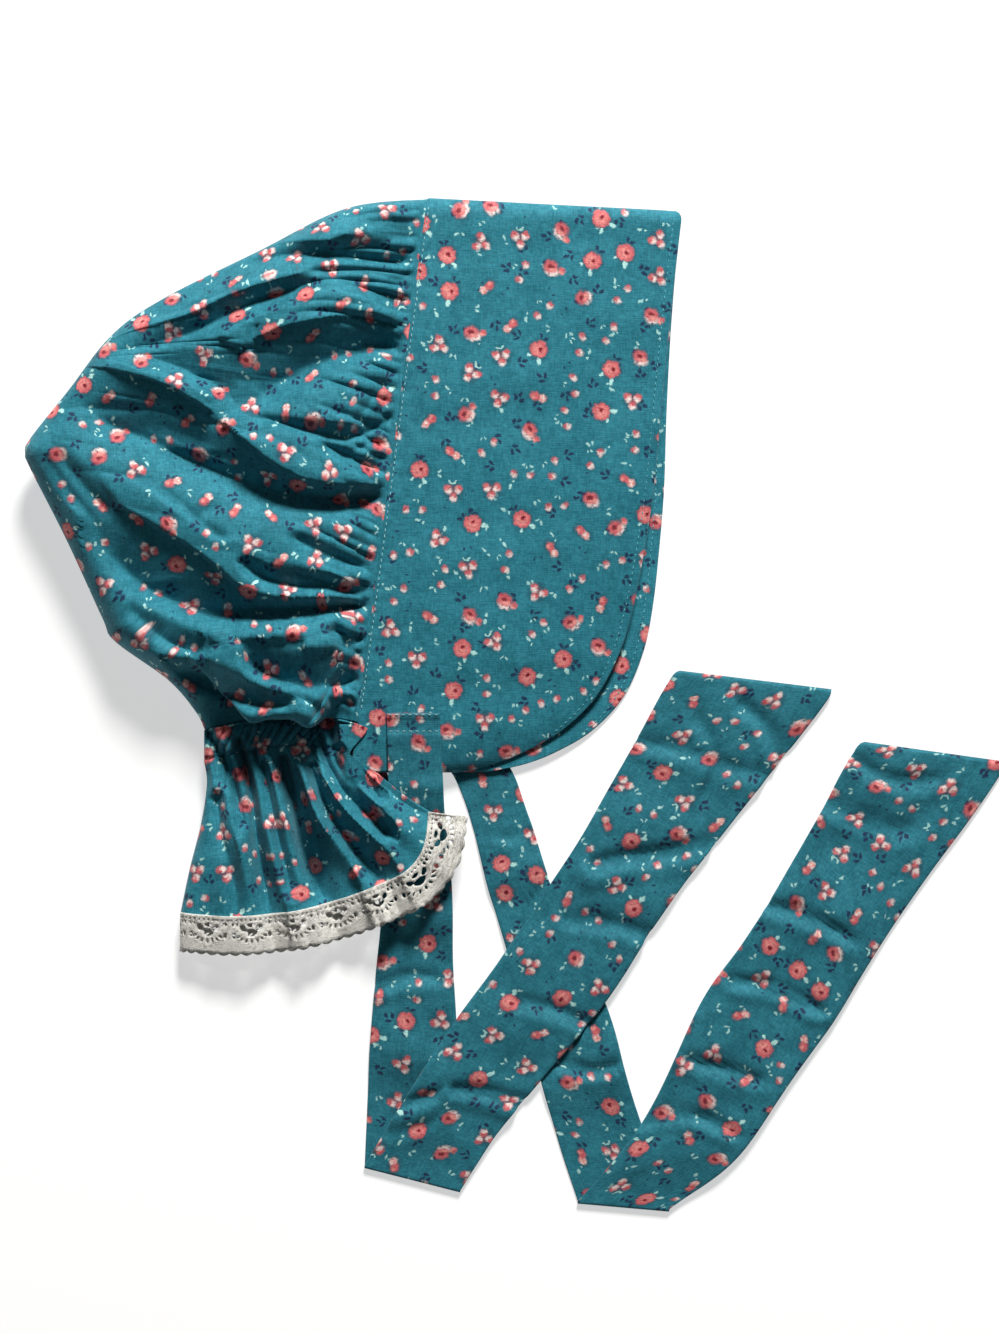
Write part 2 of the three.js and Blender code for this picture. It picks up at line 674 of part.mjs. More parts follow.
function lace() {
  const span = hems.near.getLength() + hems.far.getLength();
  const cells = Math.round(span / lacePitch);
  const cell = laceCell(span / cells);
  const points = [cell.contour, ...cell.holes].flat();
  const position = [];
  const index = [];
  const at = (k, point) => {
    const side = THREE.MathUtils.clamp((2 * (k + point.x)) / cells - 1, -1, 1);
    const middle = lacePoint(side, point.y);
    const step = 0.006;
    const before = lacePoint(Math.max(-1, side - step), point.y);
    const across = lacePoint(Math.min(1, side + step), point.y).sub(before);
    const down = lacePoint(side, point.y + 0.1).sub(lacePoint(side, point.y - 0.1));
    const normal = across.cross(down).normalize().multiplyScalar(laceWall / 2);
    return [middle.clone().add(normal), middle.clone().sub(normal)];
  };
  for (let k = 0; k < cells; k += 1) {
    const start = position.length / 3;
    for (const point of points) for (const corner of at(k, point)) position.push(...corner.toArray());
    const top = (i) => start + 2 * i;
    const under = (i) => start + 2 * i + 1;
    for (const [a, b, c] of cell.faces) {
      index.push(top(a), top(b), top(c), under(a), under(c), under(b));
    }
    let first = 0;
    for (const ring of [cell.contour, ...cell.holes]) {
      ring.forEach((point, i) => {
        const next = (i + 1) % ring.length;
        const onSide = (x) => point.x === x && ring[next].x === x;
        if ((onSide(0) && k > 0) || (onSide(1) && k < cells - 1)) return;
        const [a, b] = [first + i, first + next];
        index.push(top(a), under(a), under(b), top(a), under(b), top(b));
      });
      first += ring.length;
    }
  }
  const geometry = new THREE.BufferGeometry();
  geometry.setAttribute("position", new THREE.Float32BufferAttribute(position, 3));
  geometry.setIndex(index);
  return mergeVertices(geometry, 1e-3);
}

// The near panel's height under a point of the plan, for what lies on it.
function onBrim(x, y) {
  const drop = crownSeam - y;
  const c = THREE.MathUtils.clamp((x - seamX(drop)) / brimDepth, 0, 1);
  return brimHeight(c, drop) + brimWall / 2 + sewnGap + tieMid;
}

// Rows of a tie as points across the band. The rows on the brim follow it, and the others lie at
// their lift.
function tiePoints(table, onPanel) {
  const crease = table.findIndex((row) => row.crease);
  const rows = [];
  const layer = tieWall + layGap;
  const row = (x, y, turn, width, z) => {
    const angle = THREE.MathUtils.degToRad(turn);
    const points = [];
    for (let i = 0; i <= tieSteps; i += 1) {
      const out = (i / tieSteps - 0.5) * width;
      points.push(new THREE.Vector3(x + out * Math.cos(angle), y + out * Math.sin(angle), z));
    }
    return points;
  };
  const leg = (from, to, baseLift) => {
    const part = table.slice(from, to + 1);
    const middles = part.map((r) => new THREE.Vector2(r.x * tieLength, r.y * tieLength));
    const shapes = part.map((r) => new THREE.Vector3(r.turn, r.width * tieWidth, r.lift));
    const plan = new THREE.SplineCurve(middles);
    const shape = new THREE.CatmullRomCurve3(shapes);
    const steps = (part.length - 1) * tieStepsPerRow;
    const made = [];
    for (let k = 0; k <= steps; k += 1) {
      const middle = plan.getPoint(k / steps);
      const { x: turn, y: width, z: lift } = shape.getPoint(k / steps);
      const height = mix(baseLift, 0, k / steps) + Math.max(0, lift) * layer;
      made.push(row(middle.x, middle.y, turn, width, tieMid + height));
    }
    return made;
  };
  rows.push(...leg(0, crease, 0));
  const fold = table[crease];
  const angle = THREE.MathUtils.degToRad(fold.turn);
  for (let k = 1; k < creaseSteps; k += 1) {
    const turn = (Math.PI * k) / creaseSteps;
    const out = creaseRoll * Math.sin(turn);
    const x = fold.x * tieLength + out * Math.sin(angle);
    const y = fold.y * tieLength - out * Math.cos(angle);
    rows.push(row(x, y, fold.turn, fold.width * tieWidth, tieMid + creaseRoll * (1 - Math.cos(turn))));
  }
  rows.push(...leg(crease, table.length - 1, 2 * creaseRoll));
  if (onPanel) {
    const edge = crownSeam - brimDrop;
    for (const points of rows.slice(0, crease * tieStepsPerRow + 1)) {
      for (const point of points) {
        const held = onBrim(point.x, Math.max(edge, point.y));
        point.z = mix(point.z, held, ease(point.y, edge - offPanelReach, edge - tieWall));
      }
    }
  }
  return rows;
}

// The printed cotton, the brim's stiffened cotton and the lace
const cotton = new THREE.MeshStandardMaterial({ color: 0x17707f, roughness: 0.86 });
const stiffCotton = new THREE.MeshStandardMaterial({ color: 0x1f7a8a, roughness: 0.82 });
const cream = new THREE.MeshStandardMaterial({ color: 0xd9d3c4, roughness: 0.9 });

function named(name, geometry, material) {
  geometry.computeVertexNormals();
  const mesh = new THREE.Mesh(geometry, material);
  mesh.name = name;
  return mesh;
}

const bonnet = new THREE.Group();
bonnet.add(named("brim", brim(), stiffCotton));
bonnet.add(named("crown", crown(), cotton));
bonnet.add(named("neck_casing", casing(), cotton));
bonnet.add(named("neck_ruffle", ruffle(), cotton));
bonnet.add(named("lace_trim", lace(), cream));
bonnet.add(named("tie_near", gridWall(tiePoints(nearTieRows, true), tieWall), cotton));
bonnet.add(named("tie_far", gridWall(tiePoints(farTieRows, false), tieWall), cotton));

// The origin is under the middle of the whole bonnet, on the surface that it lies on.
const part = new THREE.Group();
part.add(bonnet);
const bounds = new THREE.Box3().setFromObject(bonnet, true);
const centre = bounds.getCenter(new THREE.Vector3());
bonnet.position.set(-centre.x, -centre.y, -bounds.min.z);

export default part;
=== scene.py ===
# A teal cotton sunbonnet with a small flower print, lying on its side, doubled along its centre line.
# Lengths in the dictionaries are millimetres, and the finished pieces are metres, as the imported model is.
import bpy
import bmesh
import math
import numpy as np
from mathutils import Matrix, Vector, geometry


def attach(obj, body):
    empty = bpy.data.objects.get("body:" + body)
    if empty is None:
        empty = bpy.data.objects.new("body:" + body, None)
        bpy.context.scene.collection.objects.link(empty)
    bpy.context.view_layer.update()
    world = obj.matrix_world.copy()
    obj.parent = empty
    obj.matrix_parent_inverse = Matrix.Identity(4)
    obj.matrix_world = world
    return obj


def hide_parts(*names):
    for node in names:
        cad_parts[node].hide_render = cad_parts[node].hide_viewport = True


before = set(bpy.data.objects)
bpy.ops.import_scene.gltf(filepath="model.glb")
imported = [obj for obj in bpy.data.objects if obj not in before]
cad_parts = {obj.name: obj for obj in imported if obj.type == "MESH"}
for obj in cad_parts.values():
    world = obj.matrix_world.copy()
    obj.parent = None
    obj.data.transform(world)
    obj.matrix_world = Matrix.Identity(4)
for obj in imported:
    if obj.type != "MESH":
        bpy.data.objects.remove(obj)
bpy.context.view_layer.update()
place = {"x": -89.527, "y": -8.928}  # the seam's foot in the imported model
scene = bpy.context.scene
print("frame loaded")

# The camera's height, the metres to a pixel, the picture's size, the seam's foot in it, and the sensor's height
view = {"height": 2.0, "pixel": 0.56e-3, "wide": 999, "high": 1333, "foot": (358, 722), "sensor": 24}
studio = {"place": (0.62, 3.7, 2.5), "aim": (-0.03, 0.0, 0), "power": 318, "size": 1.0, "colour": (1, 0.985, 0.965),
          "sky": (0.95, 0.98, 1, 1), "skyStrength": 0.1}
millimetresAPixel = 0.56


def addCamera():
    u, v = view["foot"]
    data = bpy.data.cameras.new("topCamera")
    data.sensor_fit = "VERTICAL"
    data.sensor_height = view["sensor"]
    data.lens = view["sensor"] * view["height"] / (view["high"] * view["pixel"])
    camera = bpy.data.objects.new("topCamera", data)
    x = (view["wide"] / 2 - u) * view["pixel"] + place["x"] / 1000
    y = (v - view["high"] / 2) * view["pixel"] + place["y"] / 1000
    camera.location = (x, y, view["height"])
    scene.collection.objects.link(camera)
    scene.camera = camera


def addLight():
    data = bpy.data.lights.new("keyLight", "AREA")
    data.energy = studio["power"]
    data.size = studio["size"]
    data.color = studio["colour"]
    light = bpy.data.objects.new("keyLight", data)
    light.location = studio["place"]
    light.rotation_euler = (Vector(studio["aim"]) - Vector(studio["place"])).to_track_quat("-Z", "Y").to_euler()
    scene.collection.objects.link(light)
    world = bpy.data.worlds.new("studio")
    world.use_nodes = True
    background = world.node_tree.nodes["Background"]
    background.inputs["Color"].default_value = studio["sky"]
    background.inputs["Strength"].default_value = studio["skyStrength"]
    scene.world = world


addCamera()
addLight()
scene.view_settings.view_transform = "Standard"


def mix(a, b, t):
    return a + (b - a) * t


def ease(x, low, high):
    t = np.clip((x - low) / (high - low), 0, 1)
    return t * t * (3 - 2 * t)


def along(table, x):  # a table of (key, value) rows, joined by straight lines
    keys, values = zip(*table)
    return np.interp(x, keys, values)


def rollShare(distance, radius):  # 0 at a rolled edge, 1 past the roll
    inside = np.clip(1 - distance / radius, 0, 1)
    return np.sqrt(1 - inside * inside)


def rolledDistance(share, radius, length):  # distance from a rolled edge after a share of the way over it
    way = share * (math.pi / 2 * radius + length - radius)
    turn = way / radius
    return np.where(turn < math.pi / 2, radius * (1 - np.cos(np.minimum(turn, math.pi / 2))),
                    way - (math.pi / 2 - 1) * radius)


def catmull(points, count):  # a smooth line through points, at even steps along each span
    p = np.asarray(points, float)
    n = len(p)
    t = np.linspace(0, n - 1, count)
    k = np.minimum(t.astype(int), n - 2)
    f = (t - k)[:, None]
    a, b, c, d = p[np.maximum(k - 1, 0)], p[k], p[k + 1], p[np.minimum(k + 2, n - 1)]
    return b + f * (0.5 * (c - a)) + f * f * (a - 2.5 * b + 2 * c - 0.5 * d) + f ** 3 * (
        1.5 * (b - c) + 0.5 * (d - a))


class Path:  # a smooth line that gives its point at a share of its length
    def __init__(self, points, count=600):
        self.points = catmull(points, count)
        steps = np.linalg.norm(np.diff(self.points, axis=0), axis=1)
        self.way = np.concatenate([[0], np.cumsum(steps)])
        self.length = self.way[-1]

    def at(self, share):
        way = np.clip(share, 0, 1) * self.length
        return np.stack([np.interp(way, self.way, c) for c in self.points.T], axis=-1)


def softNoise(x, y, scale, salt):  # smooth random waves of about unit size, the same on each run
    waves = np.random.default_rng(salt)
    total = 0
    for _ in range(7):
        angle, phase = waves.uniform(0, 2 * math.pi, 2)
        pitch = scale * waves.uniform(0.7, 1.6)
        total = total + np.sin((x * math.cos(angle) + y * math.sin(angle)) * 2 * math.pi / pitch + phase)
    return total / 3


def valleys(table, across, way, power=1.6):  # depth of a table of folds across and along the cloth's lines
    total = 0
    for at, drift, start, stop, depth, upper, lower in table:
        away = across - at - drift * way
        width = np.where(away < 0, upper, lower)
        reach = ease(way, start, start + 0.1) * (1 - ease(way, stop - 0.25, stop))
        total = total + depth * reach * np.exp(-np.abs(away / width) ** power)
    return total


# The flat side's falloff, the rounding of the bottom, the softness from side to side, the steep side's reach and
# curve, the lip beyond it, and the share over which a crease that starts inside the cloth sets in
creaseSet = {"power": 1.3, "core": 1.6, "blend": 2.5, "steep": 1.6, "curve": 1.2, "lipAt": 1.12, "lipWide": 0.25,
             "lipLeast": 2, "start": 0.3}


def creases(table, plan, lip=0.1, inner=340, flip=False, last=0.72):
    # Depth in millimetres of listed creases. A crease is its depth and its points in the picture's pixels,
    # each with its width above (or left of) the line and below (or right of) it. One side is steep.
    u = view["foot"][0] + plan[..., 0] / millimetresAPixel
    v = view["foot"][1] - plan[..., 1] / millimetresAPixel
    total = np.zeros_like(u)
    for depth, line in table:
        line = catmull(line, 4 * len(line))
        deepest = np.zeros_like(u)
        for k, (a, b) in enumerate(zip(line[:-1], line[1:])):
            step = b[:2] - a[:2]
            size = np.hypot(*step)
            part = np.clip(((u - a[0]) * step[0] + (v - a[1]) * step[1]) / size ** 2, 0, 1)
            gap = np.hypot(u - a[0] - part * step[0], v - a[1] - part * step[1])
            gap = np.sqrt(gap * gap + creaseSet["core"] ** 2) - creaseSet["core"]
            away = (step[0] * (v - a[1]) - step[1] * (u - a[0])) / size
            side = ease(away, -creaseSet["blend"], creaseSet["blend"])
            fall, rise = mix(a[2], b[2], part), mix(a[3], b[3], part)
            if flip:
                fall, rise, side = rise, fall, 1 - side
            fall = fall * creaseSet["steep"]
            lipWide = creaseSet["lipWide"] * fall + creaseSet["lipLeast"]
            steep = np.clip(1 - gap / fall, 0, 1) ** creaseSet["curve"]
            steep = steep - lip * np.exp(-((gap - fall * creaseSet["lipAt"]) / lipWide) ** 2)
            shape = mix(np.exp(-(gap / rise) ** creaseSet["power"]), steep, side)
            way = (k + part) / (len(line) - 1)
            fade = 1 - ease(way, last, 1)
            if line[0][0] < inner:
                fade = fade * ease(way, 0, creaseSet["start"])
            best = np.abs(shape * fade) > np.abs(deepest)
            deepest = np.where(best, shape * fade, deepest)
        total += (depth * deepest) ** 3
    return np.cbrt(total)


def newObject(name, points, faces, uv=None):
    mesh = bpy.data.meshes.new(name)
    mesh.from_pydata(np.asarray(points).tolist(), [], faces)
    if uv is not None:
        layer = mesh.uv_layers.new(name="cloth")
        loops = np.zeros(len(mesh.loops), int)
        mesh.loops.foreach_get("vertex_index", loops)
        layer.data.foreach_set("uv", np.asarray(uv)[loops].ravel())
    piece = bpy.data.objects.new(name, mesh)
    scene.collection.objects.link(piece)
    return piece


def gridFaces(rows, columns, first=0):
    a = (np.arange(rows - 1)[:, None] * columns + np.arange(columns - 1)[None, :]).ravel() + first
    return np.stack([a, a + 1, a + columns + 1, a + columns], axis=1)


def toModel(points):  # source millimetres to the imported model's metres
    moved = np.asarray(points, float).copy()
    moved[..., 0] += place["x"]
    moved[..., 1] += place["y"]
    return moved / 1000


def apply(piece, *modifiers):
    bpy.ops.object.select_all(action="DESELECT")
    bpy.context.view_layer.objects.active = piece
    piece.select_set(True)
    for kind, settings in modifiers:
        modifier = piece.modifiers.new(kind.lower(), kind)
        for key, value in settings.items():
            setattr(modifier, key, value)
        bpy.ops.object.modifier_apply(modifier=modifier.name)


def smooth(piece):
    piece.data.polygons.foreach_set("use_smooth", [True] * len(piece.data.polygons))


def gridNormals(points):
    down = np.gradient(points, axis=0)
    across = np.gradient(points, axis=1)
    normal = np.cross(across, down)
    return normal / np.maximum(np.linalg.norm(normal, axis=2, keepdims=True), 1e-9)


def edgeLines(count, length, wall):  # shares along a side, with extra lines that round its edges
    inner = np.linspace(0, 1, count)
    fine = np.array([0, 0.12, 0.4, 0.85, 1.4]) * wall / 2 / length
    inner = inner[(inner > fine[-1] * 1.5) & (inner < 1 - fine[-1] * 1.5)]
    return np.concatenate([fine, inner, 1 - fine[::-1]])


def paddedGrid(name, points, uv, wall):
    # A closed sheet round a grid of middle points. Its wall thins out round all four edges.
    normal = gridNormals(points)
    rows, columns = points.shape[:2]
    wayDown = np.concatenate([np.zeros((1, columns)), np.cumsum(
        np.linalg.norm(np.diff(points, axis=0), axis=2), axis=0)])
    wayAcross = np.concatenate([np.zeros((rows, 1)), np.cumsum(
        np.linalg.norm(np.diff(points, axis=1), axis=2), axis=1)], axis=1)
    nearest = np.minimum.reduce([wayDown, wayDown[-1:] - wayDown, wayAcross, wayAcross[:, -1:] - wayAcross])
    half = (wall / 2 * rollShare(nearest, wall / 2))[..., None]
    top = (points + normal * half).reshape(-1, 3)
    under = (points - normal * half).reshape(-1, 3)
    faces = gridFaces(rows, columns)
    inside = np.ones((rows, columns), bool)
    inside[[0, -1], :] = False
    inside[:, [0, -1]] = False
    number = np.arange(rows * columns).reshape(rows, columns)
    lower = number.copy()
    lower[inside] = rows * columns + np.arange(inside.sum())
    allPoints = np.concatenate([top, under[inside.ravel()]])
    allUv = np.concatenate([uv.reshape(-1, 2), uv.reshape(-1, 2)[inside.ravel()] + (37, 53)])
    bothFaces = np.concatenate([faces[:, ::-1], lower.ravel()[faces]])
    piece = newObject(name, toModel(allPoints), bothFaces.tolist(), allUv)
    smooth(piece)
    return piece


def weldedSheet(name, patches, wall):
    # A sheet from grids of middle points that share edges. Each patch is (points, uv, turned).
    points, uvs, faces, first = [], [], [], 0
    for grid, uv, turned in patches:
        quads = gridFaces(*grid.shape[:2], first)
        faces.append(quads[:, ::-1] if turned else quads)
        points.append(grid.reshape(-1, 3))
        uvs.append(uv.reshape(-1, 2))
        first += grid.shape[0] * grid.shape[1]
    points, faces, uvs = (np.concatenate(part) for part in (points, faces, uvs))
    piece = newObject(name, toModel(points), faces.tolist(), uvs)
    shape = bmesh.new()
    shape.from_mesh(piece.data)
    bmesh.ops.remove_doubles(shape, verts=shape.verts, dist=2e-6)
    shape.to_mesh(piece.data)
    shape.free()
    apply(piece, ("SOLIDIFY", {"thickness": wall / 1000, "offset": 0, "use_rim": True}))
    smooth(piece)
    return piece


def flatten(points, start, rounds=260):
    # Flat coordinates in which a grid's edges and diagonals keep their lengths as well as they can.
    flat = start.copy()
    links = [((slice(None, -1), slice(None)), (slice(1, None), slice(None))),
             ((slice(None), slice(None, -1)), (slice(None), slice(1, None))),
             ((slice(None, -1), slice(None, -1)), (slice(1, None), slice(1, None))),
             ((slice(1, None), slice(None, -1)), (slice(None, -1), slice(1, None)))]
    lengths = [np.linalg.norm(points[a] - points[b], axis=2) for a, b in links]
    for _ in range(rounds):
        for (a, b), length in zip(links, lengths):
            gap = flat[b] - flat[a]
            now = np.maximum(np.linalg.norm(gap, axis=2), 1e-6)
            push = (gap * (0.5 * (now - length) / now)[..., None]) * 0.28
            move = np.zeros_like(flat)
            move[a] += push
            move[b] -= push
            flat += move
    return flat


def readGrid(grid, rows, columns):  # a grid read between its rows and columns
    i = np.minimum(rows.astype(int), grid.shape[0] - 2)
    j = np.minimum(columns.astype(int), grid.shape[1] - 2)
    fi, fj = (rows - i)[:, None, None], (columns - j)[None, :, None]
    return ((1 - fi) * (1 - fj) * grid[i][:, j] + fi * (1 - fj) * grid[i + 1][:, j]
            + (1 - fi) * fj * grid[i][:, j + 1] + fi * fj * grid[i + 1][:, j + 1])


def flatMap(points, steps):
    # The flat map of a thinned grid at every row and column. The thinned grid's last row and column stop short of
    # the fine grid's, so the map runs on past them.
    coarse = points[::steps[0], ::steps[1]]
    flat = flatten(coarse, coarse[..., :2])
    sides = list(zip(points.shape[:2], coarse.shape[:2], steps))
    fine = readGrid(flat, *(np.linspace(0, few - 1, many) for many, few, _ in sides))
    places = [np.arange(many) / step / max(1, few - 1) * (many - 1) for many, few, step in sides]
    ends = [many - 1.001 for many, _, _ in sides]
    rows, columns = (np.clip(place, 0, end) for place, end in zip(places, ends))
    pastRow, pastColumn = (np.maximum(0, place - end) for place, end in zip(places, ends))
    return (readGrid(fine, rows, columns) + pastRow[:, None, None] * (fine[-1:] - fine[-2:-1])
            + pastColumn[None, :, None] * (fine[:, -1:] - fine[:, -2:-1]))


brimSet = {"depth": 142, "drop": 319, "wall": 2.2, "foldDip": 7, "rollSeam": 9, "rollFront": 6.5,
           "bowSeam": 7.2, "bowFront": 2.4, "settle": 4, "shift": 19.5, "shiftCurve": 1.6,
           "rows": 190, "columns": 90, "slack": 6, "corner": 3.6, "cornerRoll": 5, "crowd": 1.15,
           "pull": 0.8, "pullFade": 26}
# Ripples of the stiff panel: their height, length, stretch in x and y, and salt
brimRipples = [(0.6, 90, 1, 1, 5), (0.4, 34, 0.4, 1, 6), (0.15, 22, 1, 0.5, 7)]
seam = {"high": 291, "lean": 39}
brimRear = [(0, 0), (0.97, 0), (0.99, 0.008), (1, 0.02)]
brimFront = [(0, 1), (0.17, 1.008), (0.345, 1.022), (0.485, 1.036), (0.59, 1.034), (0.7, 1.022),
             (0.785, 0.993), (0.865, 0.924), (0.925, 0.808), (0.963, 0.672), (0.986, 0.545), (1, 0.4)]
frontPath = catmull(brimFront, 400)
farTieRoot = {"x": 50.7, "y": 5.3, "wide": 56, "forward": 8.4, "down": 16.8, "lift": 1.5}


def seamX(drop):
    return seam["lean"] * (1 - drop / seam["high"])


def farSlip(drop):
    return brimSet["shift"] * (np.maximum(0, drop) / brimSet["drop"]) ** brimSet["shiftCurve"]


def brimHeight(c, drop):
    roll = mix(brimSet["rollSeam"], brimSet["rollFront"], c)
    share = np.minimum(1, drop / brimSet["drop"])
    bow = mix(brimSet["bowSeam"], brimSet["bowFront"], c) * np.sin(math.pi * share)
    slack = brimSet["slack"] * np.clip(c, 0, 1) ** 2 * ease(share, 0.3, 0.9)
    return brimSet["wall"] / 2 + 2 * roll + bow - brimSet["settle"] * share - slack


def overTieRoot(x, y):
    dx = x - farTieRoot["x"] - farTieRoot["forward"]
    dy = y - farTieRoot["y"] + farTieRoot["down"]
    return farTieRoot["lift"] * (1 - ease(np.hypot(dx, dy) / farTieRoot["wide"], 0.75, 1.5))


def brimSurface(near, drop, c):
    roll = mix(brimSet["rollSeam"], brimSet["rollFront"], c)
    share = drop / brimSet["drop"]
    x = seamX(drop) + brimSet["depth"] * mix(along(brimRear, share), along(frontPath, share), c)
    corner = brimSet["corner"] * ease(c, 0.9, 1) * (1 - rollShare(drop, brimSet["cornerRoll"]))
    x = x + np.where(near, 0, farSlip(drop)) - corner
    y = seam["high"] - drop - brimSet["foldDip"] * c * (1 - share)
    middle = brimSet["wall"] / 2 + roll
    half = np.where(near, brimHeight(c, drop) - middle, overTieRoot(x, y) - roll)
    return np.stack([x, y, middle + rollShare(drop, roll) * half], axis=-1)


def makeBrim():
    rows = np.linspace(-1, 1, 2 * brimSet["rows"] + 1)
    columns = edgeLines(brimSet["columns"], brimSet["depth"], brimSet["wall"])
    side, c = np.meshgrid(rows, columns, indexing="ij")
    share = 1 - (1 - np.abs(side)) ** brimSet["crowd"]
    roll = mix(brimSet["rollSeam"], brimSet["rollFront"], c)
    drop = rolledDistance(share, roll, brimSet["drop"])
    points = brimSurface(side > 0, drop, c)
    x, y = points[..., 0], points[..., 1]
    ripple = sum(high * softNoise(x * a, y * b, long, salt) for high, long, a, b, salt in brimRipples)
    pulls = valleys(gatherTable(), drop / seam["high"], np.zeros_like(c), 1.5) * np.exp(-c * brimSet["pullFade"])
    inner = ease(drop, 4, 30) * ease(c, 0, 0.06) * (1 - ease(c, 0.9, 1)) * (1 - ease(drop, 270, 300) * 0.8)
    points[..., 2] += np.where(side > 0, ripple * inner - brimSet["pull"] * pulls * ease(c, 0, 0.015), 0)
    uv = np.stack([points[..., 0], np.sign(side) * (drop + 3)], axis=-1)
    return paddedGrid("brimPanel", points, uv, brimSet["wall"])


crownSet = {"depth": 183, "puff": 27, "lift": 13, "roll": 30, "wall": 0.9, "swell": 2.4, "swellPitch": 22,
            "rows": 300, "nearColumns": 118, "farColumns": 34, "crowd": 1.25, "puffRise": 0.3, "puffFade": 0.1,
            "backDrop": 0.35, "gatherDeep": 5.2, "gatherMost": 1.1, "wrinkles": 64, "wrinkle": 1.8, "wave": 0.5,
            "lip": 8, "lipFrom": 0.86, "drawn": 0.8, "sway": 0.35, "neckSink": 2.5, "underBrim": 1.0}
crownTop = [(0.034, 0.979), (0.294, 0.898), (0.586, 0.805)]
crownBack = [(0.739, 0.736), (0.871, 0.63), (0.985, 0.54), (1, 0.513), (0.985, 0.484), (0.877, 0.349),
             (0.77, 0.2), (0.733, 0.156), (0.571, 0.081), (0.49, 0.02)]
crownLines = [(0, 0), (0.2, 0.03), (0.45, 0.09), (0.56, 0.16), (0.7, 0.34), (0.78, 0.5), (0.86, 0.68),
              (0.94, 0.87), (1, 1)]
